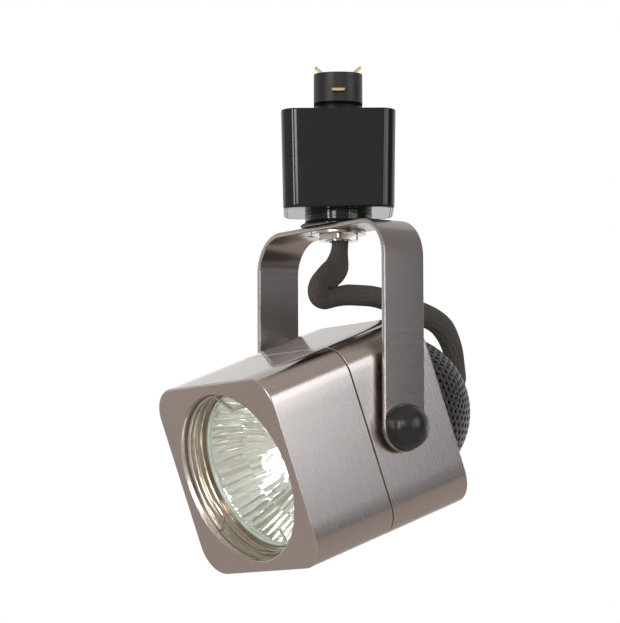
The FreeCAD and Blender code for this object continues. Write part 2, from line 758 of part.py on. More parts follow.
def make_screws(name, places, head_under, shaft_end, head_side):
    """A group of equal screws with hexagon sockets. head_side is 1 where the heads lie on the +Z end."""
    body = new_body(name, HEAD)
    steps = (
        ("sheet.screw_radius - sheet.shaft_play", head_under, f"abs({head_under} - ({shaft_end}))", head_side > 0),
        ("sheet.screw_head_radius", head_under, "sheet.screw_head_tall", head_side < 0),
    )
    for radius, lift, long, backwards in steps:
        flat = new_sketch(body, lift=lift)
        for x, y in places:
            circle(flat, radius, x, y)
        pad(body, flat, long, backwards=backwards)
    flat = new_sketch(body, lift=f"{head_under} + {head_side} * sheet.screw_head_tall")
    for x, y in places:
        hexagon(flat, "2 * sheet.screw_socket", x, y)
    pocket(body, flat, "sheet.screw_head_tall - 0.3", backwards=head_side < 0)


# ---------------------------------------------------------------- lamp and what holds it


def make_lamp_cup():
    """A turned cup behind the mouth, with two beads round its bore and a seat for the lamp's rim."""
    body = new_body("lamp_cup", HEAD)
    bore = CUP_BORE
    lamp_seat = "sheet.lamp_rim_radius - sheet.lamp_seat_wide"
    outside = f"({bore} + sheet.cup_wall)"
    seat_front = LAMP_RIM_BACK
    seat_back = f"({seat_front} - sheet.lamp_seat_thick)"
    flange_back = f"({FACE_BACK} - sheet.cup_flange_thick)"
    profile = [
        (lamp_seat, seat_back),
        (outside, seat_back),
        (outside, flange_back),
        (CUP_FLANGE, flange_back),
        (CUP_FLANGE, FACE_BACK),
        (bore, FACE_BACK),
    ]
    crest = f"{bore} - sheet.cup_bead"
    for bead in (0, 1):
        middle = f"{FACE_BACK} - sheet.cup_bead_start - {bead} * sheet.cup_bead_step"
        profile.append((bore, f"{middle} + sheet.cup_bead_wide / 2"))
        profile.append((crest, middle))
        profile.append((bore, f"{middle} - sheet.cup_bead_wide / 2"))
    profile += [(bore, seat_front), (lamp_seat, seat_front)]
    turn(body, profile)


def make_retaining_ring():
    """A spring wire clip in the cup's mouth: an open ring with one inward kink and two inward ends."""
    radius = size(f"{CUP_BORE} - sheet.wire_radius")
    level = size(f"{FACE_BACK} - sheet.ring_setback")
    tip_radius = radius - size("sheet.ring_kink_depth")
    end_radius = radius - size("sheet.ring_leg")
    kink_start, kink_tip, kink_end = 95, 76, 57
    left_end, right_end = 219, -63

    def at(degrees, out):
        """A point of the ring's plane at a bearing and a distance from its centre."""
        turned = math.radians(degrees)
        return Vector(out * math.cos(turned), out * math.sin(turned), level)

    def arc(start, end):
        """A stretch of the ring between two bearings."""
        return Part.Arc(at(start, radius), at((start + end) / 2, radius), at(end, radius)).toShape()

    def leg(start, end):
        """A straight piece of wire."""
        return Part.LineSegment(start, end).toShape()

    path = Part.Wire(
        [
            leg(at(right_end + 3, end_radius), at(right_end, radius)),
            arc(right_end, kink_end),
            leg(at(kink_end, radius), at(kink_tip, tip_radius)),
            leg(at(kink_tip, tip_radius), at(kink_start, radius)),
            arc(kink_start, left_end),
            leg(at(left_end, radius), at(left_end - 3, end_radius)),
        ]
    )
    new_feature("retaining_ring", bar(path, size("sheet.wire_radius"), 6), HEAD)


def make_reflector_lamp():
    """The lamp: a glass bowl with a front lens, a quartz capsule, and a ceramic base on two pins."""
    body = new_body("lamp_reflector", HEAD)
    glass = "sheet.glass_thick"
    rim = "sheet.lamp_rim_radius"
    lens_seat = f"({LAMP_FRONT} - sheet.lens_thick)"
    neck = "sheet.lamp_neck_radius"
    bowl = f"({rim} - sheet.bowl_inset)"
    lens = f"({rim} - sheet.lens_inset)"
    bowl_inside = f"({bowl} - {glass})"
    neck_inside = f"({neck} - {glass})"
    bowl_spread = f"({bowl} - {neck})"
    turn(
        body,
        [
            (neck_inside, LAMP_NECK_BACK),
            (neck, LAMP_NECK_BACK),
            (neck, BOWL_BACK),
            (f"{neck} + 0.62 * {bowl_spread}", f"{BOWL_BACK} + 0.4 * sheet.bowl_deep"),
            (bowl, LAMP_RIM_BACK),
            (rim, LAMP_RIM_BACK),
            (rim, LAMP_FRONT),
            (f"{lens} + sheet.face_play", LAMP_FRONT),
            (f"{lens} + sheet.face_play", lens_seat),
            (bowl_inside, lens_seat),
            (bowl_inside, LAMP_RIM_BACK),
            (f"{neck_inside} + 0.62 * {bowl_spread}", f"{BOWL_BACK} + 0.4 * sheet.bowl_deep + {glass} / 2"),
            (neck_inside, f"{BOWL_BACK} + {glass}"),
        ],
    )
    body = new_body("lamp_lens", HEAD)
    flat = new_sketch(body, lift=lens_seat)
    circle(flat, lens)
    pad(body, flat, "sheet.lens_thick")

    plug_top = f"({BOWL_BACK} + {glass} / 2)"
    plug = f"({neck_inside} - sheet.face_play)"
    foot_top = f"({LAMP_FOOT} + sheet.lamp_foot_tall)"
    body = new_body("lamp_base", HEAD)
    turn(
        body,
        [
            ("0", LAMP_FOOT),
            ("sheet.lamp_foot_radius", LAMP_FOOT),
            ("sheet.lamp_foot_radius", foot_top),
            ("sheet.lamp_base_radius", f"{foot_top} + 1"),
            ("sheet.lamp_base_radius", LAMP_NECK_BACK),
            (plug, LAMP_NECK_BACK),
            (plug, plug_top),
            ("0", plug_top),
        ],
    )
    capsule = "sheet.capsule_radius"
    capsule_top = f"({plug_top} + sheet.capsule_long)"
    body = new_body("lamp_capsule", HEAD)
    turn(
        body,
        [
            ("0", plug_top),
            (capsule, plug_top),
            (capsule, f"{capsule_top} - {capsule}"),
            (f"{capsule} / 3", capsule_top),
            ("0", capsule_top),
        ],
    )

    body = new_body("lamp_pins", HEAD)
    places = [("-sheet.pin_pitch / 2", "0"), ("sheet.pin_pitch / 2", "0")]
    for radius, lift, long in (
        ("sheet.pin_radius", LAMP_FOOT, "sheet.pin_long"),
        ("sheet.pin_head_radius", f"{LAMP_FOOT} - sheet.pin_long", "sheet.pin_head_tall"),
    ):
        flat = new_sketch(body, lift=lift)
        for x, y in places:
            circle(flat, radius, x, y)
        pad(body, flat, long, backwards=True)


def make_socket():
    """The ceramic lamp holder and the sheet bracket that the long screws clamp across the head."""
    body = new_body("socket_bracket", HEAD)
    flat = new_sketch(body, lift=BRACKET_BACK)
    inset = "(sheet.rear_wall + sheet.bracket_room)"
    side = f"{HEAD_SIZE} - 2 * {inset}"
    rounded_rectangle(flat, side, side, f"sheet.head_corner - {inset}")
    pad(body, flat, "sheet.bracket_thick")
    window = "sheet.bracket_window_offset"
    flat = new_sketch(body, lift=BRACKET_FRONT)
    circle(flat, "sheet.lamp_foot_radius + sheet.joint_gap")
    for x, y in ((window, "0"), (f"-{window}", "0"), ("0", window), ("0", f"-{window}")):
        circle(flat, "sheet.bracket_window", x, y)
    for x, y in four_corners(POST_OFFSET):
        circle(flat, "sheet.screw_radius + sheet.shaft_play", x, y)
    for side in (-1, 1):
        circle(flat, "sheet.screw_radius + sheet.shaft_play", f"{side} * sheet.socket_screw_offset")
    pocket(body, flat, "sheet.bracket_thick + 1")

    body = new_body("lamp_socket", HEAD)
    radius = "sheet.socket_radius"
    step = f"({radius} - sheet.socket_step)"
    turn(
        body,
        [
            ("0", SOCKET_BACK),
            (f"{step} - sheet.socket_corner", SOCKET_BACK),
            (step, f"{SOCKET_BACK} + sheet.socket_corner"),
            (step, f"{SOCKET_BACK} + sheet.socket_tall / 2"),
            (radius, f"{SOCKET_BACK} + sheet.socket_tall / 2"),
            (radius, BRACKET_BACK),
            ("0", BRACKET_BACK),
        ],
    )
    pin_room = "sheet.pin_long + sheet.pin_head_tall + 1"
    for radius, offset, deep in (
        ("sheet.pin_head_radius + sheet.joint_gap", "sheet.pin_pitch / 2", pin_room),
        ("sheet.screw_radius", "sheet.socket_screw_offset", "sheet.socket_screw_long + 1"),
    ):
        flat = new_sketch(body, lift=BRACKET_BACK)
        for side in (-1, 1):
            circle(flat, radius, f"{side} * {offset}")
        pocket(body, flat, deep)


# ---------------------------------------------------------------- rear dome


CABLE_HOLE = "(sheet.bush_radius + sheet.face_play)"
FIRST_BAND = "(sheet.first_vent_angle - sheet.vent_angle_step / 2)"


def dome_corner(radius, angle):
    """A corner of the dome's profile, at an angle from its top, on a sphere of the given radius."""
    return (f"{radius} * sin({angle})", f"{DOME_CENTRE} - {radius} * cos({angle})")


def on_dome(radius, out):
    """The level of the dome's first band, outside or inside, at a distance out from the axis."""
    end_out, end_level = dome_corner(radius, FIRST_BAND)
    hole_level = f"({DOME_CENTRE} - sqrt({radius} ^ 2 - {CABLE_HOLE} ^ 2))"
    slope = f"(({end_level}) - {hole_level}) / (({end_out}) - {CABLE_HOLE})"
    return f"({hole_level} + (({out}) - {CABLE_HOLE}) * {slope})"


def make_vent_dome():
    """A sheet dome of straight bands, each pierced by a ring of holes, flanged inside the back wall."""
    body = new_body("vent_dome", HEAD)
    outside = DOME_RADIUS
    inside = f"({DOME_RADIUS} - sheet.dome_thick)"
    flange_front = f"({BACK_INSIDE} + sheet.dome_thick)"
    rings = int((90 - size("sheet.first_vent_angle")) / size("sheet.vent_angle_step")) + 1
    edges = [f"({FIRST_BAND} + {ring} * sheet.vent_angle_step)" for ring in range(rings + 1)]
    profile = [
        (DOME_FLANGE, BACK_INSIDE),
        (DOME_FLANGE, flange_front),
        (inside, flange_front),
        (inside, DOME_CENTRE),
    ]
    profile += [dome_corner(inside, angle) for angle in reversed(edges)]
    profile += [(CABLE_HOLE, on_dome(inside, CABLE_HOLE)), (CABLE_HOLE, on_dome(outside, CABLE_HOLE))]
    profile += [dome_corner(outside, angle) for angle in edges]
    profile += [(outside, DOME_CENTRE), (outside, BACK_INSIDE)]
    turn(body, profile)
    upright = [part for part in body.Origin.OriginFeatures if part.Role == "Z_Axis"][0]
    for ring in range(rings):
        angle = f"(sheet.first_vent_angle + {ring} * sheet.vent_angle_step)"
        around = 2 * math.pi * size(outside) * math.sin(math.radians(size(angle)))
        holes = round(around / size("sheet.vent_pitch"))
        drill = body.newObject("PartDesign::SubtractivePrism", f"vent_{ring}")
        drill.Polygon = 6
        drill.setExpression("Circumradius", "sheet.vent_radius")
        drill.setExpression("Height", "sheet.dome_thick + 2")
        half_step = 180 / holes * (ring % 2)
        aimed = f"placement(vector(0; 0; {DOME_CENTRE}); rotation({half_step}; 180 - {angle}; 0))"
        outwards = f"placement(vector(0; 0; {inside} - 1); rotation(0; 0; 0))"
        drill.setExpression("Placement", f"{aimed} * {outwards}")
        document.recompute()
        ring_of_holes = body.newObject("PartDesign::PolarPattern", f"vents_{ring}")
        ring_of_holes.Originals = [drill]
        ring_of_holes.Axis = (upright, [""])
        ring_of_holes.Angle = 360
        ring_of_holes.Occurrences = holes
        body.Tip = ring_of_holes
        document.recompute()


def make_cable_bush():
    """A rubber grommet in the dome's cable hole, with a lip on each side of the sheet."""
    body = new_body("cable_bush", HEAD)
    hole = "sheet.cable_radius + sheet.bush_play"
    neck = "sheet.bush_radius"
    lip = "sheet.bush_lip_radius"
    outside = DOME_RADIUS
    inside = f"({DOME_RADIUS} - sheet.dome_thick)"
    outer_end = f"({DOME_APEX} - sheet.bush_lip_thick)"
    inner_end = f"({on_dome(inside, lip)} + sheet.bush_lip_thick)"
    turn(
        body,
        [
            (hole, outer_end),
            (neck, outer_end),
            (lip, DOME_APEX),
            (lip, on_dome(outside, lip)),
            (neck, on_dome(outside, neck)),
            (neck, on_dome(inside, neck)),
            (lip, on_dome(inside, lip)),
            (lip, inner_end),
            (hole, inner_end),
        ],
    )


# ---------------------------------------------------------------- pivot


def make_pivot(side, frame):
    """One side of the pivot, outwards: nut inside the shell, spacer, stud through the arm, and knob."""
    wall_inside = f"({HALF_HEAD} - sheet.rear_wall)"
    nut = ("sheet.pivot_nut_flats", STUD_HOLE, f"{wall_inside} - sheet.pivot_nut_thick", "sheet.pivot_nut_thick")
    hex_nut(f"pivot_nut_{side}", frame, *nut)
    drilled_disc(f"pivot_spacer_{side}", frame, "sheet.spacer_radius", STUD_HOLE, HALF_HEAD, "sheet.spacer_thick")

    knob_foot = f"({ARM_OUTSIDE} + sheet.face_play)"
    bore_end = f"{knob_foot} + sheet.knob_bore_deep"
    dome_foot = f"{knob_foot} + sheet.knob_skirt"
    round_to = [(f"sheet.knob_radius * cos({rise})", f"sheet.knob_radius * sin({rise})") for rise in (25, 50, 75)]
    crown = [(out, f"{dome_foot} + {up}") for out, up in round_to]
    body = new_body(f"knob_{side}", frame)
    turn(
        body,
        [
            ("sheet.stud_radius", knob_foot),
            ("sheet.knob_radius", knob_foot),
            ("sheet.knob_radius", dome_foot),
            *crown,
            ("0", f"{dome_foot} + sheet.knob_radius"),
            ("0", bore_end),
            ("sheet.stud_radius", bore_end),
        ],
    )
    body = new_body(f"knob_stud_{side}", frame)
    stud_start = f"({wall_inside} - sheet.stud_inside)"
    flat = new_sketch(body, lift=stud_start)
    circle(flat, "sheet.stud_radius")
    pad(body, flat, f"{bore_end} - {stud_start}")


# ---------------------------------------------------------------- cable and leads

# the sleeve's route in the yoke's frame: across the pivot, towards the front, and up
CABLE_ROUTE = [
    (0.0, 0.0, -34.5),
    (0.0, 0.0, -41.5),
    (0.0, 2.5, -45.9),
    (0.2, 7.6, -48.9),
    (0.4, 8.8, -54.9),
    (0.3, 4.4, -59.0),
    (0.0, -1.8, -57.9),
    (-0.4, -8.0, -56.0),
    (-1.0, -16.4, -55.7),
    (-1.8, -25.4, -56.4),
    (-3.0, -34.4, -58.6),
    (-4.8, -42.6, -63.2),
    (-5.9, -47.6, -70.4),
    (-3.8, -48.7, -76.9),
]


def head_point(along):
    """A point on the dome's axis, so far along the beam from the pivot, in the same three measures."""
    tilt = math.radians(size("sheet.tilt_angle"))
    return (0.0, along * math.cos(tilt), -size("sheet.pivot_drop") - along * math.sin(tilt))


def make_cable():
    """The braided sleeve, from inside the stem to inside the dome, and the leads that leave its ends."""
    inside_dome = size(f"{DOME_APEX} + sheet.dome_thick + 2 * sheet.bush_lip_thick")
    outside_dome = size(f"{DOME_APEX} - sheet.bush_lip_thick - 2.8")
    route = CABLE_ROUTE + [head_point(outside_dome), head_point(inside_dome)]
    points = [Vector(across, -forward, up) for across, forward, up in route]
    sleeve = bar(route_wire(points), size("sheet.cable_radius"), 12)
    new_feature("cable_sleeve", sleeve, YOKE)

    spread = size("sheet.lead_spread")
    lead = size("sheet.lead_radius")
    top = CABLE_ROUTE[0][2]
    tail = -size("sheet.contact_tail")
    rise = tail - top
    riser = size("sheet.contact_riser + sheet.contact_thick / 2")
    tails = ((0, riser), (0, -riser), (0, 0))
    wires = []
    for bearing, (tail_x, tail_y) in zip((90, 210, 330), tails):
        start_x = spread * math.cos(math.radians(bearing))
        start_y = spread * math.sin(math.radians(bearing))
        points = [
            Vector(start_x, start_y, top),
            Vector(start_x, start_y, top + 0.58 * rise),
            Vector(tail_x, tail_y, tail - 0.18 * rise),
            Vector(tail_x, tail_y, tail),
        ]
        wires.append(bar(route_wire(points), lead, 6))
    new_feature("adapter_leads", Part.Compound(wires), ADAPTER)

    wires = []
    socket_back = size(SOCKET_BACK)
    straight = (socket_back - inside_dome) / 5
    apart = 0.4 * size("sheet.pin_pitch")
    for side in (-1, 1):
        points = [
            Vector(side * spread, 0, inside_dome),
            Vector(side * spread, 0, inside_dome + straight),
            Vector(side * apart, 0, socket_back - straight),
            Vector(side * apart, 0, socket_back),
        ]
        wires.append(bar(route_wire(points), lead, 6))
    new_feature("socket_leads", Part.Compound(wires), HEAD)


def main():
    """Builds every sub-part, checks each one and writes it to its own file."""
    make_adapter_housing()
    make_adapter_base()
    make_contact_carrier()
    make_contacts()
    make_stem()
    make_yoke()
    make_front_shell()
    make_rear_shell()
    corners = four_corners(POST_OFFSET)
    counterbore = f"{BACK} + sheet.screw_head_tall + 0.1"
    make_screws("housing_screws", corners, counterbore, f"{BRACKET_FRONT} + sheet.screw_reach - sheet.joint_gap", -1)
    make_lamp_cup()
    make_retaining_ring()
    make_reflector_lamp()
    make_socket()
    beside_lamp = [(f"{side} * sheet.socket_screw_offset", "0") for side in (-1, 1)]
    make_screws("socket_screws", beside_lamp, BRACKET_FRONT, f"{BRACKET_BACK} - sheet.socket_screw_long", 1)
    make_vent_dome()
    make_cable_bush()
    for side, frame in SIDES.items():
        make_pivot(side, frame)
    make_cable()

    document.recompute()
    for item in document.Objects:
        if "Invalid" in item.State or "Error" in item.State:
            raise ValueError(f"{item.Label} did not compute: {item.State}")
    os.makedirs("parts", exist_ok=True)
    for piece in pieces:
        if piece.Shape.isNull() or not piece.Shape.isValid():
            raise ValueError(f"{piece.Label} has no valid shape")
    for piece in pieces:
        piece.Shape.exportStep(f"parts/{piece.Label}.step")
        print(f"{piece.Label}: {len(piece.Shape.Solids)} solids, {piece.Shape.Volume:.1f} mm3")


main()
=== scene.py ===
# %% [markdown]
# # Dressing a track spotlight
#
# A small spotlight hangs from a lighting rail: a black moulded adapter, a bent steel yoke, a square
# brushed lamp head with a reflector lamp behind its round mouth, and a braided sleeve that carries
# the wires from the adapter round to the perforated dome at the back.
# Its solids come ready as a fixed frame, in metres. This lesson puts better surfaces over the ones
# that show, gives every piece a finish, and sets up the light and the camera.
# The frame is loaded first.

# %% Load the frame
import json
import math
import bmesh
import bpy
import numpy as np
from mathutils import Matrix, Vector

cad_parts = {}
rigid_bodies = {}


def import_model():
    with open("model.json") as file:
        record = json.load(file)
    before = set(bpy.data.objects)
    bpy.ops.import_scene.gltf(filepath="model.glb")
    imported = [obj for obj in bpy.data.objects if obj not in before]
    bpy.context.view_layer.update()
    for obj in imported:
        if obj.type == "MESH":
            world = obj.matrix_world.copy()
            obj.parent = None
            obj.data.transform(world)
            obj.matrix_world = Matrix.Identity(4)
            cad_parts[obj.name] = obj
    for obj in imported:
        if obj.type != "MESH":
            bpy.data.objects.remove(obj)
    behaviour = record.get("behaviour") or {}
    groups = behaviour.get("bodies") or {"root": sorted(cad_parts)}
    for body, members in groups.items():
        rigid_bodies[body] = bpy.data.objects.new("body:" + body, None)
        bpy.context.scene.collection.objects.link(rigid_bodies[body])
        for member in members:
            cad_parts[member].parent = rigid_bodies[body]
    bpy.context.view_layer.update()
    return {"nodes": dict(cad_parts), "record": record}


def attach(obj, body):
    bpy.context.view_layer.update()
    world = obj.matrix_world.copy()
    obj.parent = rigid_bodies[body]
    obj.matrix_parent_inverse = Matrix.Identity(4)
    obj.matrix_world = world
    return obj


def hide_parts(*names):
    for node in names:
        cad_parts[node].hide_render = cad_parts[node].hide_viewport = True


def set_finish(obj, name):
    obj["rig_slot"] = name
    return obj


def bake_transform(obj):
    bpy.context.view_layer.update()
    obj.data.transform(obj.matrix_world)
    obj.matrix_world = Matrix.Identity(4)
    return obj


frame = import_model()
nodes = frame["nodes"]
MM = 0.001

# %% [markdown]
# ## Where things stand
#
# The adapter stands square to the world. The yoke is turned about the vertical stem, and the head
# is tilted about the bolts through the yoke's arms. Each piece below is worked out in millimetres
# in the directions of its own group, and then carried to its place: that keeps every formula plain.
# A seat is an origin and three unit directions, and a point goes to
# origin + x * first + y * second + z * third.

# %% Seats
pan = math.radians(54.2)
tilt = math.radians(21.1)
across = np.array([math.cos(pan), -math.sin(pan), 0.0])
forward = np.array([-math.sin(pan), -math.cos(pan), 0.0])
upward = np.array([0.0, 0.0, 1.0])
beam = math.cos(tilt) * forward - math.sin(tilt) * upward
crown = math.sin(tilt) * forward + math.cos(tilt) * upward
pivot = np.array([0.0, 0.0, -99.1])


def seat(origin, first, second, third):
    """A function that carries points to their place: origin + x * first + y * second + z * third."""
    directions = np.array([first, second, third])
    return lambda points: (np.asarray(origin) + np.asarray(points, float) @ directions) * MM


on_adapter = seat((0, 0, 0), (1, 0, 0), (0, 1, 0), (0, 0, 1))
on_yoke = seat((0, 0, 0), across, -forward, upward)
on_head = seat(pivot, across, crown, beam)
on_left = seat(pivot, beam, crown, -across)
on_right = seat(pivot, crown, beam, across)
print("the beam points along", beam.round(3))

# %% [markdown]
# ## The camera
#
# The portrait is taken with a long lens from a little below the lamp. A long lens keeps the edges of
# the square head nearly parallel. The camera's place is a target plus a distance along a direction
# given by two angles, and its turn has a quarter of a degree of roll.

# %% Camera
azimuth, elevation, roll = (math.radians(angle) for angle in (-0.035, -6.205, -0.246))
target = np.array([-8.95, 0.0, -61.07]) * MM
camera_away = 1.29336
focal_length = 242.5
film_width = 36.0
back = np.array([
    math.sin(azimuth) * math.cos(elevation),
    -math.cos(azimuth) * math.cos(elevation),
    math.sin(elevation)])
right = np.cross(-back, upward)
right /= np.linalg.norm(right)
top = np.cross(right, -back)
right, top = (
    math.cos(roll) * right + math.sin(roll) * top,
    math.cos(roll) * top - math.sin(roll) * right)
camera = bpy.data.objects.new("portrait_camera", bpy.data.cameras.new("portrait_camera"))
camera.data.lens = focal_length
camera.data.sensor_width = film_width
camera.data.clip_end = 20.0
camera.matrix_world = Matrix.Translation(target + camera_away * back) @ Matrix(
    np.column_stack([right, top, back])).to_4x4()
bpy.context.scene.collection.objects.link(camera)
bpy.context.scene.camera = camera
print("camera at", [round(value, 3) for value in camera.matrix_world.translation])

# %% [markdown]
# ## From a grid of numbers to a surface
#
# Every new surface is a grid of points: a shape that depends on two numbers, one along the rows and
# one along the columns. Neighbouring points make four-sided faces. A grid may close on itself both
# ways, like a tyre, which is what a sheet-metal shell with its inside and outside is. Where a row
# shrinks to one point, the point is merged, so that the pole is closed. Faces are turned outwards by
# the sign of the volume, and the texture map is laid out in metres, so that a pattern keeps its size.


# %% Grid to mesh
def lengths(points, closed):
    """Distance travelled along a row of points, starting at 0, with the closing step if it is closed."""
    steps = np.linalg.norm(np.diff(points, axis=0), axis=1)
    if closed:
        steps = np.append(steps, np.linalg.norm(points[0] - points[-1]))
    return np.concatenate([[0.0], np.cumsum(steps)])


def skin(name, grid, loop_rows=False, crease=35):
    """A mesh object from a grid of points in metres. Each row closes on itself, and the rows may too."""
    rows, columns = grid.shape[:2]
    row_steps = rows if loop_rows else rows - 1
    row, column = np.meshgrid(np.arange(row_steps), np.arange(columns), indexing="ij")
    corners = [(row, column), (row, column + 1), (row + 1, column + 1), (row + 1, column)]
    quads = np.stack([(r % rows) * columns + c % columns for r, c in corners], -1).reshape(-1, 4)
    widest = np.argmax(np.linalg.norm(np.diff(grid, axis=1), axis=2).sum(axis=1))
    round_it, along_it = lengths(grid[widest], True), lengths(grid[:, 0], loop_rows)
    texture = np.stack([np.stack([round_it[c], along_it[r]], -1) for r, c in corners], 2).reshape(-1, 2)
    mesh = bpy.data.meshes.new(name)
    mesh.vertices.add(rows * columns)
    mesh.vertices.foreach_set("co", grid.reshape(-1).astype(np.float32))
    mesh.loops.add(quads.size)
    mesh.loops.foreach_set("vertex_index", quads.reshape(-1).astype(np.int32))
    mesh.polygons.add(len(quads))
    mesh.polygons.foreach_set("loop_start", np.arange(0, quads.size, 4, dtype=np.int32))
    mesh.update(calc_edges=True)
    mesh.uv_layers.new(name="laid_out").data.foreach_set("uv", texture.reshape(-1).astype(np.float32))
    return finished(name, mesh, crease)


def finished(name, mesh, crease=35):
    """The mesh as an object in the scene: doubles merged, faces outwards, smooth up to an angle."""
    work = bmesh.new()
    work.from_mesh(mesh)
    bmesh.ops.remove_doubles(work, verts=work.verts, dist=1e-7)
    bmesh.ops.dissolve_degenerate(work, edges=work.edges, dist=1e-8)
    if work.calc_volume(signed=True) < 0:
        bmesh.ops.reverse_faces(work, faces=work.faces)
    open_edges = sum(1 for edge in work.edges if len(edge.link_faces) != 2)
    work.to_mesh(mesh)
    work.free()
    mesh.polygons.foreach_set("use_smooth", np.ones(len(mesh.polygons), bool))
    mesh.set_sharp_from_angle(angle=math.radians(crease))
    piece = bpy.data.objects.new(name, mesh)
    bpy.context.scene.collection.objects.link(piece)
    print(f"{name}: {len(mesh.polygons)} faces, {open_edges} open edges")
    return piece


# %% [markdown]
# ## Edges that catch the light
#
# No real edge is perfectly sharp. A profile is a list of corners, each with the radius that eases
# it, and the easing is an arc between the two sides. Two more points close to each arc keep the
# flat sides flat when the shading is smooth.


# %% Eased profiles
LEAD = 1.3  # where an arc's arms carry their extra points, as a share of the arc's own reach


def eased(corners, steps=5):
    """A closed profile of corners (a, b, radius), each rounded by an arc that touches both its sides."""
    points = []
    count = len(corners)
    for index, (a, b, radius) in enumerate(corners):
        here = np.array([a, b], float)
        if radius <= 0:
            points.append(here[None])
            continue
        before = np.array(corners[index - 1][:2], float) - here
        after = np.array(corners[(index + 1) % count][:2], float) - here
        before_long, after_long = np.linalg.norm(before), np.linalg.norm(after)
        before, after = before / before_long, after / after_long
        half = math.acos(np.clip(before @ after, -1, 1)) / 2
        reach = radius / math.tan(half)
        middle = here + (before + after) / np.linalg.norm(before + after) * radius / math.sin(half)
        spread = (np.pi / 2 - half) * np.linspace(-1, 1, steps + 1)[:, None]
        inward = (here - middle) / np.linalg.norm(here - middle)
        sideways = np.array([-inward[1], inward[0]])
        sideways *= np.sign(sideways @ after)
        arc = middle + radius * (np.cos(spread) * inward + np.sin(spread) * sideways)
        lead_in = here + before * min(LEAD * reach, 0.5 * before_long)
        lead_out = here + after * min(LEAD * reach, 0.5 * after_long)
        points += [lead_in[None], arc, lead_out[None]]
    return np.concatenate(points)


def turned(profile, columns=96):
    """A profile (distance out, height) carried round the axis: x = out * cos, y = out * sin."""
    bearing = np.linspace(0, 2 * np.pi, columns, endpoint=False)
    out, height = profile[:, 0, None], profile[:, 1, None]
    return np.stack([out * np.cos(bearing), out * np.sin(bearing), height + 0 * bearing], -1)


def lathe(name, corners, place, columns=96, steps=5):
    """A turned piece from eased corners, placed by a seat; its profile is a closed loop."""
    return skin(name, place(turned(eased(corners, steps), columns)), loop_rows=True)


print("an eased square has", len(eased([(0, 0, 1), (9, 0, 1), (9, 9, 1), (0, 9, 1)])), "points")

# %% [markdown]
# ## The braided sleeve
#
# A soft woven sleeve leaves the stem, folds over on itself just under the yoke, passes behind the
# right arm and dives into the dome at the back. It is a fixed length of something limp, so its line
# is one smooth spline guided by a few points: across the yoke, forwards and up, in millimetres.
# A Blender curve turns them into the line, and its points are read back as numbers for the weave.

# %% Sleeve line
sleeve_route = np.array([
    (0.0, 0.0, -34.5), (0.0, -1.1, -38.3), (0.0, 1.3, -46.8), (0.2, 4.8, -48.6), (0.4, 9.2, -53.3),
    (0.3, 6.5, -58.2), (0.0, -1.9, -56.3), (-0.4, -6.2, -55.8), (-1.0, -16.0, -55.1),
    (-1.8, -25.1, -57.5), (-3.0, -33.7, -58.8), (-4.8, -44.0, -61.7), (-5.9, -49.0, -68.7),
    (-3.8, -48.7, -76.9), (0.0, -46.09, -81.32), (0.0, -40.77, -83.37)])
sleeve_points = seat((0, 0, 0), across, forward, upward)(sleeve_route)
line = bpy.data.curves.new("sleeve_line", "CURVE")
line.dimensions = "3D"
line.resolution_u = 24
spline = line.splines.new("NURBS")
spline.points.add(len(sleeve_points) - 1)
weighted = np.column_stack([sleeve_points, np.ones(len(sleeve_points))])
spline.points.foreach_set("co", weighted.reshape(-1))
spline.order_u = 3
spline.use_endpoint_u = True
line_object = bpy.data.objects.new("sleeve_line", line)
bpy.context.scene.collection.objects.link(line_object)
bpy.context.view_layer.update()
line_mesh = bpy.data.meshes.new_from_object(line_object)
sleeve_path = np.zeros(len(line_mesh.vertices) * 3)
line_mesh.vertices.foreach_get("co", sleeve_path)
sleeve_path = sleeve_path.reshape(-1, 3)
bpy.data.objects.remove(line_object)
sleeve_way = lengths(sleeve_path, False)
print("sleeve length in mm", round(sleeve_way[-1] / MM, 1))

# %% [markdown]
# ## A tube that follows a line
#
# A curve's round bevel would be the same circle everywhere, but the sleeve flattens at its fold. So
# the tube is a grid: at each point of the line stands a ring of its own width. The ring's second
# direction stays with one fixed side, which keeps the rings from twisting round the line.


# %% Tube round a path
def tube(path, out, aside, side):
    """Rings round a path: each point is path + out * normal + aside * second, the second along side."""
    heading = np.gradient(path, axis=0)
    heading /= np.linalg.norm(heading, axis=1)[:, None]
    normal = np.cross(heading, side)
    normal /= np.linalg.norm(normal, axis=1)[:, None]
    second = np.cross(heading, normal)
    out, aside = (
        np.broadcast_to(value, (len(path), value.shape[-1]))[..., None]
        for value in np.broadcast_arrays(out, aside))
    return path[:, None] + out * normal[:, None] + aside * second[:, None]


def capped(grid):
    """The grid with its first and last rows closed by one more row at their middle."""
    first = np.repeat(grid[:1].mean(axis=1, keepdims=True), grid.shape[1], axis=1)
    last = np.repeat(grid[-1:].mean(axis=1, keepdims=True), grid.shape[1], axis=1)
    return np.concatenate([first, grid, last])


print("points on the sleeve's line", len(sleeve_path))
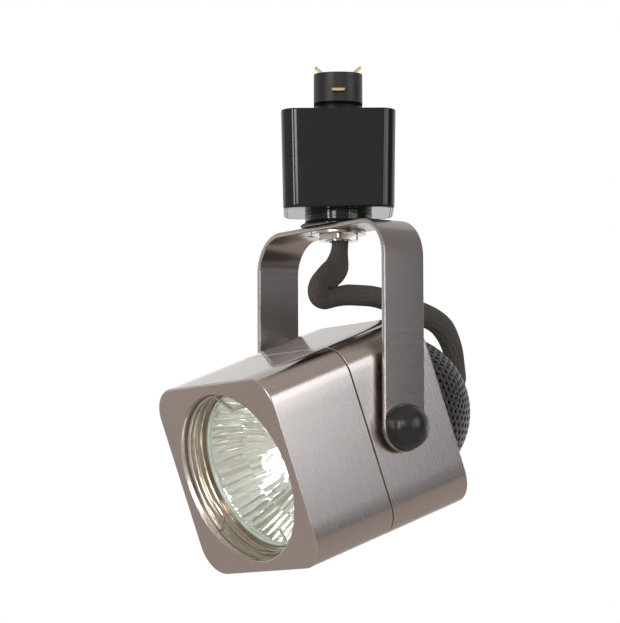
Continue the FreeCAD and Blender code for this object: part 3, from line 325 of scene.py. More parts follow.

# %% [markdown]
# ## The weave
#
# Fine black and grey yarns run round the sleeve as left-hand and right-hand helixes. Each one rises
# and dips as it crosses the others, so the sleeve's radius is a little larger wherever a helix of
# either hand runs: the larger of two cosine waves in bearing and way along the line. The widths
# on the outside, the inside and the flats of each bend are listed by millimetres along the line.
# One end hangs from the yoke and the other goes into the head.

# %% Woven sleeve
sleeve_rings, sleeve_columns, blur = 620, 112, 31
even_way = np.linspace(0, sleeve_way[-1], sleeve_rings)
sleeve_line = np.stack([np.interp(even_way, sleeve_way, sleeve_path[:, axis]) for axis in range(3)], -1)
width_at = np.array([0, 5, 8, 12, 17, 21, 25, 30, 36, 50, 66, 80, 92, 105])
outer_width = np.array([2.5, 2.5, 2.2, 2.8, 2.3, 2.4, 4.3, 2.6, 2.8, 3.5, 4.0, 4.2, 3.2, 2.8])
inner_width = np.array([2.5, 2.6, 3.0, 5.4, 6.2, 5.0, 3.7, 3.1, 3.6, 2.9, 3.2, 3.2, 2.6, 2.6])
flat_width = np.array([2.4, 2.4, 2.4, 2.4, 2.3, 2.2, 2.2, 2.2, 2.4, 2.8, 3.0, 3.0, 2.9, 2.7])
kernel = np.hanning(blur) / np.hanning(blur).sum()
listed = [np.interp(even_way / MM, width_at, width) for width in (outer_width, inner_width, flat_width)]
outer, inner, flat = (
    np.convolve(np.pad(width, blur // 2, mode="edge"), kernel, "valid")[:, None] for width in listed)
bearing = np.linspace(0, 2 * np.pi, sleeve_columns, endpoint=False)[None]
strands, pitch, yarn_rise = 28, 13.5 * MM, 0.028
climb = even_way[:, None] / pitch * 2 * np.pi
weave = np.maximum(np.cos(strands / 2 * bearing + climb), np.cos(strands / 2 * bearing - climb))
proud = 1 + yarn_rise * weave
side_width = np.where(np.cos(bearing) > 0, outer, inner)
sleeve_out = side_width * proud * np.cos(bearing) * MM
sleeve_aside = flat * proud * np.sin(bearing) * MM
sleeve = skin("woven_sleeve", capped(tube(sleeve_line, sleeve_out, sleeve_aside, across)), crease=80)
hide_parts("cable_sleeve")
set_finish(sleeve, "braid")
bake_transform(sleeve)
print("strands", strands, "widest", round(float((outer + inner).max()), 1), "mm")

# %% [markdown]
# ## Rounded boxes
#
# The adapter and the two halves of the head are boxes with round corners, and each has a round
# opening. A ring of points runs round a rounded rectangle, and a second ring with the same number
# of points runs round a circle at the same bearings. Rings between the two are mixes of them, so
# one grid runs from the box's outside over its edge, across its flat face and into the round mouth.


# %% Rings
def squared(half_wide, half_tall, corner, arc_steps=10, side_steps=5):
    """Points round a rounded rectangle: a quarter is half a side, a quarter circle and half a side."""
    corner = max(corner, 0.05)
    turn = np.linspace(0, np.pi / 2, arc_steps + 1)
    middle = np.array([half_wide - corner, half_tall - corner])
    arc = middle + corner * np.stack([np.cos(turn), np.sin(turn)], -1)
    rise = np.linspace(0, 1, side_steps + 1)[:, None]
    first = np.array([half_wide, 0.0]) * (1 - rise) + arc[0] * rise
    last = arc[-1] * (1 - rise) + np.array([0.0, half_tall]) * rise
    quarter = np.concatenate([first[:-1], arc, last[1:]])
    half = np.concatenate([quarter, quarter[-2::-1] * [-1, 1]])
    return np.concatenate([half, half[-2:0:-1] * [1, -1]])


HOLE_EDGE = 0.6  # rings this close to the hole's wall are already round


def boxed(rows, half_wide, half_tall, corner, wall, hole, drop=0.0):
    """Rings (inset, height): rounded rectangles up to the wall's inset, then mixes, then circles.

    An inset counts from the middle of the box's side, and drop narrows the box per mm downwards.
    """
    outline = squared(half_wide, half_tall, corner)
    bearings = np.arctan2(outline[:, 1], outline[:, 0])
    last = half_wide - hole
    first_circle = last - HOLE_EDGE
    grid = []
    for inset, height in rows:
        slope = drop * height
        kept = min(inset, wall)
        ring = squared(half_wide - kept + slope, half_tall - kept + slope, corner - kept)
        radius = max(hole + last - inset, hole) if inset > first_circle else hole + HOLE_EDGE
        circle = radius * np.stack([np.cos(bearings), np.sin(bearings)], -1)
        share = np.clip((inset - wall) / (first_circle - wall), 0, 1)
        flat = ring * (1 - share) + circle * share
        grid.append(np.column_stack([flat, np.full(len(flat), height)]))
    return np.array(grid)


HEAD_HALF, HEAD_CORNER = 29.9, 9.3
print("points on each ring of the head", len(squared(HEAD_HALF, HEAD_HALF, HEAD_CORNER)))

# %% [markdown]
# ## The head's front half
#
# The front is a square tube with a face across it and a round mouth in the face. On the real lamp it
# is an aluminium casting that is turned, brushed round its four sides and plated. The closed profile
# below walks from the seam over the outside and the face into the mouth, and back along the inside.

# %% Front half
front_wall, mouth_radius = 1.8, 26.5
front_profile = eased([
    (front_wall, 11.1, 0.1), (0.0, 11.1, 0.18), (0.0, 41.5, 0.5),
    (HEAD_HALF - mouth_radius, 41.5, 0.3), (HEAD_HALF - mouth_radius, 39.5, 0.2),
    (front_wall, 39.5, 0.2)])
front_rings = boxed(front_profile, HEAD_HALF, HEAD_HALF, HEAD_CORNER, front_wall, mouth_radius)
front_half = skin("front_half", on_head(front_rings), loop_rows=True)
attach(front_half, "head")
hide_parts("front_shell")
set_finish(front_half, "brushed_shell")

# %% [markdown]
# ## The head's rear half
#
# The rear half is a square cup. Its spigot slides into the front half and shows as the dark line of
# the seam. The back has a round hole for the dome, and four counterbores for the long screws. A grid
# can't hold holes that cross its rows, so they are cut with Booleans, which are then baked into the
# mesh. The cutters are turned rods, and they go away once they have cut.


# %% Holes
def bored(piece, rods, crease=35):
    """The piece with a hole wherever one of the rods, grids of points, passes through it."""
    cutters = [skin(f"{piece.name}_rod_{index}", grid) for index, grid in enumerate(rods)]
    for cutter in cutters:
        cut = piece.modifiers.new(cutter.name, "BOOLEAN")
        cut.object = cutter
        cut.solver = "EXACT"
    bpy.context.view_layer.update()
    cut_piece = piece.evaluated_get(bpy.context.evaluated_depsgraph_get())
    whole, piece.data = piece.data, bpy.data.meshes.new_from_object(cut_piece)
    piece.modifiers.clear()
    piece.data.set_sharp_from_angle(angle=math.radians(crease))
    print(piece.name, "had", len(whole.polygons), "faces and now has", len(piece.data.polygons))
    for cutter in cutters:
        bpy.data.objects.remove(cutter)


def rod(radius, low, high, columns=40):
    """A closed rod about the third direction, from one height to another."""
    return turned(np.array([(0, low), (radius, low), (radius, high), (0, high)]), columns)


# %% Rear half
rear_wall, dome_hole, spigot_inset, back_face = 3.0, 24.3, 1.95, -19.7
rear_profile = eased([
    (spigot_inset, 10.7, 0.05), (spigot_inset, 13.7, 0.2), (rear_wall, 13.7, 0.2),
    (rear_wall, -17.7, 0.3), (HEAD_HALF - dome_hole, -17.7, 0.2),
    (HEAD_HALF - dome_hole, back_face, 0.3), (0.0, back_face, 0.5), (0.0, 10.7, 0.18)])
rear_rings = boxed(rear_profile, HEAD_HALF, HEAD_HALF, HEAD_CORNER, rear_wall, dome_hole)
rear_half = skin("rear_half", on_head(rear_rings), loop_rows=True)
screw_head, screw_offset = 3.0, 22.8
screw_places = [[x, y, 0] for x in (-screw_offset, screw_offset) for y in (-screw_offset, screw_offset)]
bored(rear_half, [on_head(rod(screw_head, -25.0, -18.5) + place) for place in screw_places])
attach(rear_half, "head")
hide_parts("rear_shell")
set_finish(rear_half, "brushed_shell")

# %% [markdown]
# ## The rail adapter
#
# The adapter is a glossy black moulding, a rounded box that narrows by half a millimetre a side
# towards its foot. A thin rim shows round the plate that closes it, and the plate carries a round
# neck. The same rings serve: the housing's profile walks over the outside, under the rim, up the
# inside and out through the hole for the key.

# %% Adapter housing
case_half, case_deep, case_corner, case_wall, key_hole = 17.65, 16.0, 5.0, 2.2, 7.5
case_tall, narrowing = 30.5, 0.55
housing_profile = eased([
    (0.0, 0.0, 0.5), (0.0, -case_tall, 0.7), (1.2, -case_tall, 0.2), (1.2, -28.1, 0.0),
    (case_wall, -28.1, 0.0), (case_wall, -2.2, 0.5), (case_half - key_hole, -2.2, 0.2),
    (case_half - key_hole, 0.0, 0.2)])
housing_rings = boxed(
    housing_profile, case_half, case_deep, case_corner, case_wall, key_hole, narrowing / case_tall)
housing = skin("adapter_case", on_adapter(housing_rings), loop_rows=True)
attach(housing, "adapter")
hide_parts("adapter_housing")
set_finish(housing, "adapter_black")
print("the housing is", case_tall, "mm tall and narrows by", narrowing, "mm a side")

# %% [markdown]
# ## The plate under the adapter
#
# A plate snaps into the adapter's open foot. Its neck has to be round although the plate is not, so
# the rings inside the neck's radius are put on circles outright. A small square post stands beside
# the neck and stops the yoke after most of a turn, so that the wires can't be wound up.

# %% Adapter plate and stop post
plate_half, plate_deep, plate_corner, plate_rim, round_from = 15.85, 14.25, 3.75, 0.8, 10.4
neck_inset, bore_inset = 5.45, 11.75
plate_profile = eased([
    (0.0, -28.1, 0.2), (0.0, -30.5, 0.25), (neck_inset, -30.5, 0.3), (neck_inset, -32.6, 0.05),
    (bore_inset, -32.6, 0.3), (bore_inset, -28.1, 0.2)])
plate_rings = boxed(plate_profile, plate_half, plate_deep, plate_corner, plate_rim, round_from)
neck_part = plate_profile[:, 0] > neck_inset
plate_bearings = np.arctan2(plate_rings[0, :, 1], plate_rings[0, :, 0])
neck_radius = (plate_half - plate_profile[neck_part, 0])[:, None]
plate_rings[neck_part, :, 0] = neck_radius * np.cos(plate_bearings)
plate_rings[neck_part, :, 1] = neck_radius * np.sin(plate_bearings)
plate = skin("adapter_plate", on_adapter(plate_rings), loop_rows=True)
stop_half, stop_deep, stop_edge, stop_wall, stop_middle = 1.5, 1.0, 0.3, 0.2, 0.2
stop_place, stop_top, stop_foot = [3.5, 13.2, 0], -30.4, -34.2
stop_profile = eased([
    (0.8, stop_top, 0.0), (0.0, stop_top, 0.0), (0.0, stop_foot, stop_edge),
    (0.8, stop_foot, stop_edge)])
stop_rings = boxed(stop_profile, stop_half, stop_deep, stop_edge, stop_wall, stop_middle) + stop_place
stop_post = skin("stop_post", on_adapter(capped(stop_rings)))
for piece in (plate, stop_post):
    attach(piece, "adapter")
    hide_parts("adapter_base")
    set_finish(piece, "adapter_black")

# %% [markdown]
# ## The swivel collar, washer and nut
#
# Under the adapter a black collar flares out to a lip that the yoke turns against. Below the yoke
# are a washer and a thin bright nut. Collar and washer are turned profiles. The nut is a six-sided
# ring whose corners are cut by a cone, so its radius is the smaller of the two.

# %% Collar, washer and nut
stem_hole, lip_radius, collar_radius = 4.1, 11.8, 10.4
collar = lathe("collar", [
    (stem_hole, -34.9, 0.1), (lip_radius, -34.9, 0.2), (lip_radius, -34.4, 0.2),
    (collar_radius, -33.9, 0.8), (collar_radius, -32.6, 0.05), (stem_hole, -32.6, 0.1)], on_adapter)
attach(collar, "adapter")
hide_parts("swivel_collar")
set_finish(collar, "adapter_black")

washer_radius, washer_low, washer_high = 8.5, -37.4, -36.4
washer = lathe("washer", [
    (stem_hole, washer_low, 0.1), (washer_radius, washer_low, 0.25), (washer_radius, washer_high, 0.25),
    (stem_hole, washer_high, 0.1)], on_adapter)
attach(washer, "adapter")
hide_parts("friction_washer")
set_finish(washer, "plated_steel")

nut_bore, nut_flat, nut_corner, nut_low, nut_high, nut_columns = 4.05, 6.0, 6.93, -39.2, -37.4, 120
nut_rows = eased([
    (nut_bore, nut_low, 0.1), (nut_corner, nut_low, 0.2), (nut_corner, nut_high, 0.2),
    (nut_bore, nut_high, 0.1)])
nut_grid = turned(nut_rows, nut_columns)
nut_bearing = np.linspace(0, 2 * np.pi, nut_columns, endpoint=False)
hexagon = nut_flat / np.cos((nut_bearing + np.pi / 6) % (np.pi / 3) - np.pi / 6)
edge_cut = np.minimum(np.abs(nut_rows[:, 1] - nut_low), np.abs(nut_rows[:, 1] - nut_high))
cone_radius, cone_slope = 6.35, 1.6
cone = cone_radius + cone_slope * edge_cut
limit = np.minimum(hexagon[None], cone[:, None])
out = np.linalg.norm(nut_grid[..., :2], axis=-1)
nut_grid[..., :2] *= (np.minimum(out, limit) / out)[..., None]
nut = skin("thin_nut", on_adapter(nut_grid), loop_rows=True, crease=25)
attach(nut, "adapter")
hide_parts("stem_nut")
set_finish(nut, "plated_steel")

# %% [markdown]
# ## The yoke
#
# The yoke is one strap of steel, 15 mm wide and 1.5 mm thick, bent to an upside-down U with round
# ends. It is a cross-section carried along a path: a thin rectangle with eased edges, whose width
# shrinks to nothing over the last 7.5 mm, as the half chord of a circle does. First comes the path:
# an arm, a bend of a quarter circle, the flat top, and the same again on the other side. The rows
# stand closer together where the button is pressed through the top.

# %% Yoke path
strap_half, strap_thick = 7.5, 1.5
bend, arm_middle, top_middle = 11.25, 32.55, -35.65
pivot_height = pivot[2]
end_turn = np.linspace(0, np.pi / 2, 15)
round_end = strap_half * (1 - np.cos(end_turn))
arm_long = (top_middle - bend) - pivot_height
arm_way = np.concatenate([round_end, strap_half + np.linspace(0, arm_long, 24)[1:]])
bend_turn = np.linspace(0, np.pi / 2, 17)[1:]
flat_half = arm_middle - bend
button_rows = np.arange(-16.2, -11.1, 0.22)
flat_x = np.unique(np.round(np.concatenate([np.linspace(-flat_half, flat_half, 40), button_rows]), 3))
left_arm = np.stack([np.full(len(arm_way), -arm_middle), pivot_height - strap_half + arm_way], -1)
left_bend = np.array([-flat_half, top_middle - bend]) + bend * np.stack(
    [-np.cos(bend_turn), np.sin(bend_turn)], -1)
flat_top = np.stack([flat_x[1:-1], np.full(len(flat_x) - 2, top_middle)], -1)
half_path = np.concatenate([left_arm, left_bend])
strap_path = np.concatenate([half_path, flat_top, half_path[::-1] * [-1, 1]])
strap_heading = np.gradient(strap_path, axis=0)
strap_heading /= np.linalg.norm(strap_heading, axis=1)[:, None]
strap_out = np.stack([-strap_heading[:, 1], strap_heading[:, 0]], -1)
print("strap length in mm", round(lengths(strap_path, False)[-1], 1))

# %% [markdown]
# ## The yoke's section
#
# The strap's edges are eased by a quarter circle of 0.28 mm, and near its round ends the easing
# shrinks with the width. The section is written once, with widths from -1 to 1, and each point of
# the path scales it. A small button is pressed through the top from below: a smooth step, 1 inside
# its radius and 0 outside, lifts both faces of the sheet. Rods cut the holes for the stem and bolts.

# %% Yoke section and button
from_end = np.minimum(strap_path[:, 1] - (pivot_height - strap_half), strap_half)
chord = np.sqrt(np.maximum(strap_half**2 - (strap_half - from_end) ** 2, 0))
edge, half_thick = 0.28, strap_thick / 2
quarter = np.linspace(0, np.pi / 2, 6)
side_arc = np.stack([edge * np.sin(quarter), half_thick - edge + edge * np.cos(quarter)], -1)
across_top = np.linspace(-1, 1, 70)
section_side = np.concatenate([side_arc, side_arc[::-1] * [1, -1]])
full_width = np.ones(len(section_side))
widths = np.concatenate([across_top, full_width, across_top[::-1], -full_width])
easing = np.concatenate([0 * across_top, section_side[:, 0], 0 * across_top, -section_side[::-1, 0]])
level = 0 * across_top + half_thick
thick = np.concatenate([level, section_side[:, 1], -level, section_side[::-1, 1]])
level_width = np.maximum(chord - edge, 0)[:, None] * widths
ease_size = np.minimum(chord / edge, 1)[:, None] * easing
sideways = level_width + ease_size
outwards = np.broadcast_to(thick, sideways.shape).copy()
yoke_x = strap_path[:, 0, None] + strap_out[:, 0, None] * outwards
yoke_z = strap_path[:, 1, None] + strap_out[:, 1, None] * outwards
button_place, button_radius, button_blur, button_rise, button_dent = -13.7, 1.35, 0.09, 1.38, 0.95
from_button = np.hypot(yoke_x - button_place, sideways)
is_flat = np.abs(strap_path[:, 0, None]) < flat_half - 0.5
step = 1 / (1 + np.exp((from_button - button_radius) / button_blur))
yoke_z += is_flat * step * np.where(outwards > 0, button_rise, button_dent)
yoke = skin("yoke_strap", on_yoke(np.stack([yoke_x, sideways, yoke_z], -1)), crease=40)
stem_hole_radius, bolt_hole_radius = 4.15, 2.65
stem_rod, bolt_rod = rod(stem_hole_radius, -37.0, -34.0), rod(bolt_hole_radius, 31.0, 34.0)
bored(yoke, [on_yoke(stem_rod), on_left(bolt_rod), on_right(bolt_rod)])
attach(yoke, "yoke_arm")
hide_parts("yoke")
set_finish(yoke, "brushed_yoke")

# %% [markdown]
# ## The knobs
#
# A round black knob on each side locks the tilt. It is half a ball over a short skirt, with a fine
# step between the two where the mould parts. The ball is carried round its own axis.

# %% Knobs
ball = np.linspace(0, np.pi / 2, 28)
knob_foot, skirt_radius, ball_radius, ball_foot, ball_tall = 33.35, 7.18, 6.98, 34.2, 6.7
knob_profile = np.concatenate([
    [(0.0, knob_foot), (6.9, knob_foot), (7.12, 33.45), (skirt_radius, 33.6), (skirt_radius, 34.0)],
    [(7.08, 34.12), (ball_radius, 34.16)],
    np.stack([ball_radius * np.cos(ball), ball_foot + ball_tall * np.sin(ball)], -1)])
for side, place, body in (("left", on_left, "left_knob"), ("right", on_right, "right_knob")):
    knob = skin(f"knob_cap_{side}", place(turned(knob_profile)))
    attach(knob, body)
    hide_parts(f"knob_{side}")
    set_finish(knob, "knob_plastic")

# %% [markdown]
# ## The cup
#
# Behind the mouth sits a spun cup with two rolled beads, which stiffen the thin metal. It could be
# cut with a lathe profile of straight lines, but a roll has no corners, so each bead is half a
# cosine wave on the bore. A steep smooth step narrows the bore where the lamp's rim rests.

# %% Cup
cup_front, cup_foot, cup_bore, cup_outside, cup_rim = 39.5, 29.0, 26.2, 27.4, 27.8
bead_middles, bead_rise, bead_half = (36.9, 33.9), 0.75, 1.6
lamp_step, step_height, step_blur = 1.05, 32.55, 0.06
bore_z = np.linspace(cup_front, 30.45, 110)
bead = sum(
    bead_rise * np.cos(np.clip((bore_z - middle) / bead_half, -1, 1) * np.pi / 2)
    for middle in bead_middles)
seat_step = lamp_step / (1 + np.exp((bore_z - step_height) / step_blur))
cup_profile = np.concatenate([
    [(23.7, cup_foot), (27.35, cup_foot), (cup_outside, 29.05), (cup_outside, 38.05), (27.45, 38.1)],
    [(cup_rim, 38.1), (cup_rim, cup_front), (26.3, cup_front)],
    np.stack([cup_bore - bead - seat_step, bore_z], -1), [(25.1, 30.4), (23.8, 30.4), (23.7, 30.35)]])
cup = skin("mouth_cup", on_head(turned(cup_profile, 144)), loop_rows=True)
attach(cup, "head")
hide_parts("lamp_cup")
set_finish(cup, "polished_cup")

# %% [markdown]
# ## The wire clip
#
# A spring wire lies in the cup in front of the lamp and holds it. It is an open ring with one kink
# near the top, where fingers squeeze it, and two ends bent inwards. The ring's corners are rounded
# by parabolas, because bent wire has no sharp corners, and a thin tube follows the whole line.

# %% Wire clip line
clip_radius, clip_height, wire_radius, bent_in, kinked_in = 25.7, 38.8, 0.5, 20.3, 21.1
first_arc = np.radians(np.linspace(-63, 57, 90))
second_arc = np.radians(np.linspace(95, 219, 90))
corner_out = np.array([bent_in, clip_radius, clip_radius, kinked_in, clip_radius, clip_radius, bent_in])
corner_turn = np.radians([-60.0, -63.0, 57.0, 76.0, 95.0, 219.0, 216.0])
clip_corner = np.stack([corner_out * np.cos(corner_turn), corner_out * np.sin(corner_turn)], -1)


def softened(start, corner, end, reach=0.9):
    """Nine points that turn a corner: a parabola from reach before it to reach after it."""
    before = corner + (start - corner) / np.linalg.norm(start - corner) * reach
    after = corner + (end - corner) / np.linalg.norm(end - corner) * reach
    way = np.linspace(0, 1, 9)[:, None]
    return (1 - way) ** 2 * before + 2 * way * (1 - way) * corner + way**2 * after


def on_ring(angles):
    """Points of the clip's ring at these bearings."""
    return clip_radius * np.stack([np.cos(angles), np.sin(angles)], -1)


clip_flat = np.concatenate([
    clip_corner[0][None],
    softened(clip_corner[0], clip_corner[1], on_ring(first_arc)[3]), on_ring(first_arc)[3:-3],
    softened(on_ring(first_arc)[-3], clip_corner[2], clip_corner[3]),
    softened(clip_corner[2], clip_corner[3], clip_corner[4]),
    softened(clip_corner[3], clip_corner[4], on_ring(second_arc)[3]), on_ring(second_arc)[3:-3],
    softened(on_ring(second_arc)[-3], clip_corner[5], clip_corner[6]), clip_corner[6][None]])
clip_line = np.column_stack([clip_flat, np.full(len(clip_flat), clip_height)])
print("wire length in mm", round(lengths(clip_line, False)[-1], 1))

# %% Wire clip
clip_turn = np.linspace(0, 2 * np.pi, 20, endpoint=False)[None]
clip_out, clip_aside = wire_radius * np.cos(clip_turn), wire_radius * np.sin(clip_turn)
clip = skin("wire_clip", on_head(capped(tube(clip_line, clip_out, clip_aside, upward))), crease=60)
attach(clip, "head")
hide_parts("retaining_ring")
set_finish(clip, "plated_steel")

# %% [markdown]
# ## The reflector lamp
#
# The lamp is pressed glass with a mirror coating. Its bowl is covered with rings of long small
# mirrors that spread the light, and each ring is turned half a mirror from the last. An image of
# facets would slide over the bowl, so they are real shape: the depth grows with a power of the
# distance out, each mirror adds a shallow pillow, and a seeded random lean makes each one flash
# differently, as pressed glass does.

# %% Mirrors of the bowl
mirrors, mirror_rows, mirror_columns = 56, 9, 7
band_edges = np.array([0.0, 0.3, 0.6, 1.0])
row_gap, column_gap = 0.002, 0.015
bowl_rows = np.concatenate([
    np.linspace(start + row_gap, end - row_gap, mirror_rows)
    for start, end in zip(band_edges, band_edges[1:])])[:, None]
mirror_turn = np.concatenate([
    np.linspace(n + column_gap, n + 1 - column_gap, mirror_columns) for n in range(mirrors)])[None]
bowl_turn = mirror_turn / mirrors * 2 * np.pi
band = np.repeat(np.arange(3), mirror_rows)[:, None]
in_band = (bowl_rows - band_edges[band]) / (band_edges[band + 1] - band_edges[band]) - 0.5
in_mirror = mirror_turn % 1.0 - 0.5
bowl_turn = bowl_turn + (band % 2) * np.pi / mirrors
tilts = np.random.default_rng(16).uniform(-1, 1, (2, 3, mirrors))
which = mirror_turn.astype(int)
lean = 0.22 * tilts[0][band, which] * in_band + 0.2 * tilts[1][band, which] * in_mirror
pillow = 0.3 * (1 - 4 * in_mirror**2) + 0.12 * (1 - 4 * in_band**2) + lean
print("mirrors", 3 * mirrors, "highest pillow", round(float(pillow.max()), 2), "mm")

# %% Reflector bowl
bowl_rim, bowl_foot, rim_height, bowl_deep, bowl_power = 24.2, 8.4, 31.15, 19.4, 1.7
bowl_out = bowl_rim + (bowl_foot - bowl_rim) * bowl_rows
bowl_z = rim_height - bowl_deep * (1 - ((bowl_out - bowl_foot) / (bowl_rim - bowl_foot)) ** bowl_power)
bowl_inner = bowl_out - 0.8 * pillow * (bowl_out / bowl_rim)
bowl_inside = np.stack([
    bowl_inner * np.cos(bowl_turn), bowl_inner * np.sin(bowl_turn), bowl_z - 0.5 * pillow], -1)
outer_profile = np.array([
    (8.2, 4.0), (9.6, 4.0), (9.6, 11.4), (12.5, 13.5), (17.5, 17.0), (22.0, 23.5), (24.5, 30.4),
    (24.8, 30.4), (25.0, 30.6), (25.0, 32.3), (24.9, 32.5), (24.5, 32.5), (24.45, 32.4),
    (24.45, 31.25), (24.4, 31.2), (24.25, 31.2)])
bowl_outside = turned(outer_profile, mirrors * mirror_columns)
bowl_rings = np.concatenate([bowl_outside, bowl_inside])
bowl = skin("mirror_bowl", on_head(bowl_rings), loop_rows=True, crease=20)
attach(bowl, "head")
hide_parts("lamp_reflector")
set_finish(bowl, "lamp_mirror")

# %% [markdown]
# ## The lens and the capsule
#
# A plain glass disc closes the lamp, a fifth of a millimetre crowned in the middle. Behind it is the
# quartz capsule that burns: a small tube with a round nose, uneven where it was pinched off. Both
# are turned profiles, and three soft dents run down the capsule so that it sparkles unevenly.

# %% Lens and capsule
lens_flat, lens_radius, lens_front, lens_crown = 24.0, 24.38, 32.3, 0.2
lens_out = np.linspace(lens_flat, 0, 14)
lens_profile = np.concatenate([
    [(0, 31.2), (24.2, 31.2), (lens_radius, 31.3), (lens_radius, 32.1), (24.2, lens_front)],
    np.stack([lens_out, lens_front + lens_crown * (1 - (lens_out / lens_flat) ** 2)], -1)])
lens = skin("front_lens", on_head(turned(lens_profile, 120)))
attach(lens, "head")
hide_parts("lamp_lens")
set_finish(lens, "lamp_glass")

nose = np.linspace(0, np.pi / 2, 12)
capsule_radius, capsule_foot, nose_foot, capsule_columns, dent_deep = 3.9, 12.2, 26.2, 72, 0.0875
capsule_profile = np.concatenate([
    [(0, capsule_foot), (capsule_radius, capsule_foot), (capsule_radius, 15.0)],
    np.stack([capsule_radius * np.cos(nose), nose_foot + capsule_radius * np.sin(nose)], -1)])
capsule_grid = turned(capsule_profile, capsule_columns)
capsule_bearing = np.linspace(0, 2 * np.pi, capsule_columns, endpoint=False)
dents = dent_deep * np.abs(np.sin(3 * capsule_bearing + 0.5 * capsule_grid[..., 2]))
capsule_grid[..., :2] *= 1 - dents[..., None]
capsule = skin("quartz_capsule", on_head(capsule_grid))
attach(capsule, "head")
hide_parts("lamp_capsule")
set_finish(capsule, "lamp_glass")

# %% [markdown]
# ## The perforated dome
#
# The back of the head breathes through a dome of thin sheet with nearly seven hundred round holes.
# Even spacing on a ball comes from a geodesic net: the faces of a twenty-sided solid are divided
# into small triangles and pushed out to the ball. Every point of the net gets a hole. Each small
# triangle is three corners with a sector of a hole cut from each, so the whole dome is one set of
# arrays, and Solidify gives it the thickness of the sheet.

# %% Geodesic net
FREQUENCY = 12
ring_five = np.radians(np.arange(5) * 72.0)
low = 1 / 5**0.5
wide = 2 / 5**0.5
solid_points = np.concatenate([[[0, 0, 1.0]]] + [
    np.stack([wide * np.cos(turn), wide * np.sin(turn), np.full(5, height)], -1)
    for turn, height in ((ring_five, low), (ring_five + np.pi / 5, -low))])
top_faces = [(0, 1 + n, 1 + (n + 1) % 5) for n in range(5)]
side_faces = [(1 + n, 6 + n, 1 + (n + 1) % 5) for n in range(5)] + [
    (6 + (n - 1) % 5, 6 + n, 1 + n) for n in range(5)]
first, second = np.meshgrid(np.arange(FREQUENCY + 1), np.arange(FREQUENCY + 1), indexing="ij")


def divided(face):
    """The small triangles of one face: points (i, j, rest) / frequency mixed from its three corners."""
    i, j = first[first + second < FREQUENCY], second[first + second < FREQUENCY]
    upright = np.stack([np.stack(place, -1) for place in ((i, j), (i + 1, j), (i, j + 1))], 1)
    k, m = first[first + second < FREQUENCY - 1], second[first + second < FREQUENCY - 1]
    flipped = np.stack([np.stack(place, -1) for place in ((k + 1, m), (k + 1, m + 1), (k, m + 1))], 1)
    small = np.concatenate([upright, flipped]) / FREQUENCY
    mix = np.concatenate([1 - small.sum(-1, keepdims=True), small], -1)
    return mix @ solid_points[list(face)]


net = np.concatenate([divided(face) for face in top_faces + side_faces])
net /= np.linalg.norm(net, axis=-1, keepdims=True)
net = net[(net[..., 2] > -1e-6).all(axis=1)]
print("small triangles on the dome", len(net))

# %% [markdown]
# ## Holes in the net
#
# Each corner of a small triangle gets a sixth of a hole: an arc round the corner, from the side to
# the next corner to the side to the previous one. The other edge of the strip runs from the middle
# of one side, over the triangle's middle, to the middle of the other side. So three strips fill the
# triangle, and the holes of neighbouring triangles meet as whole circles. Close to the sleeve's
# hole and to the rim the radius is 0, and the sheet stays whole.

# %% Hole rims
DOME_RADIUS, HOLE_RADIUS = 24.2, 0.66
BUSH_EDGE, FIRST_HOLES, LAST_HOLES = 11.0, 16.0, 88.0  # degrees down from the dome's top
polar = np.degrees(np.arccos(np.clip(net[..., 2], -1, 1)))
below_bush = (polar > BUSH_EDGE).any(axis=1)
net, polar = net[below_bush], polar[below_bush]
hole = np.where((polar > FIRST_HOLES) & (polar < LAST_HOLES), HOLE_RADIUS, 0.0) / DOME_RADIUS
corner = net
following, previous = np.roll(net, -1, axis=1), np.roll(net, 1, axis=1)
centre = net.mean(axis=1, keepdims=True)
rim_steps = 4
way = np.linspace(0, 1, rim_steps + 1)
to_next, to_previous = following - corner, previous - corner
to_next /= np.linalg.norm(to_next, axis=-1, keepdims=True)
to_previous /= np.linalg.norm(to_previous, axis=-1, keepdims=True)
sweep = to_next[:, :, None] * np.cos(way * np.pi / 3)[:, None] + (
    (to_previous - 0.5 * to_next)[:, :, None] * (2 / 3**0.5) * np.sin(way * np.pi / 3)[:, None])
rim = corner[:, :, None] + hole[:, :, None, None] * sweep
middle_next, middle_previous = (corner + following) / 2, (corner + previous) / 2
half_way = np.clip(way * 2, 0, 1)[:, None]
last_half = np.clip(way * 2 - 1, 0, 1)[:, None]
edge_line = np.where(
    way[:, None] <= 0.5,
    middle_next[:, :, None] * (1 - half_way) + centre[:, :, None] * half_way,
    centre[:, :, None] * (1 - last_half) + middle_previous[:, :, None] * last_half)
strip = np.stack([rim, edge_line], 3)
print("strips on the dome", strip.shape[0] * strip.shape[1])

# %% Strips on the ball
bush_hole, ball_middle = 10.45, -21.7  # degrees down from the top; mm behind the pivot
strip /= np.linalg.norm(strip, axis=-1, keepdims=True)
angle = np.arccos(np.clip(strip[..., 2], -1, 1))
flat_bearing = np.arctan2(strip[..., 1], strip[..., 0])
angle = np.maximum(angle, math.radians(bush_hole))
shell_points = DOME_RADIUS * np.stack([
    np.sin(angle) * np.cos(flat_bearing), np.sin(angle) * np.sin(flat_bearing), -np.cos(angle)], -1)
shell_points[..., 2] += ball_middle
flat_index = np.arange(shell_points[..., 0].size).reshape(shell_points.shape[:-1])
rim_index, edge_index = flat_index[..., 0], flat_index[..., 1]
quads = np.stack([
    rim_index[..., :-1], edge_index[..., :-1], edge_index[..., 1:], rim_index[..., 1:]], -1)
quads = quads.reshape(-1, 4)
print("faces on the ball", len(quads))

# %% [markdown]
# ## The dome's mesh
#
# A short skirt joins the dome to the back plate. The strips share their edges, so merging doubles
# closes the sheet, and Solidify gives it its thickness of 0.8 mm inwards, with a wall round each hole.

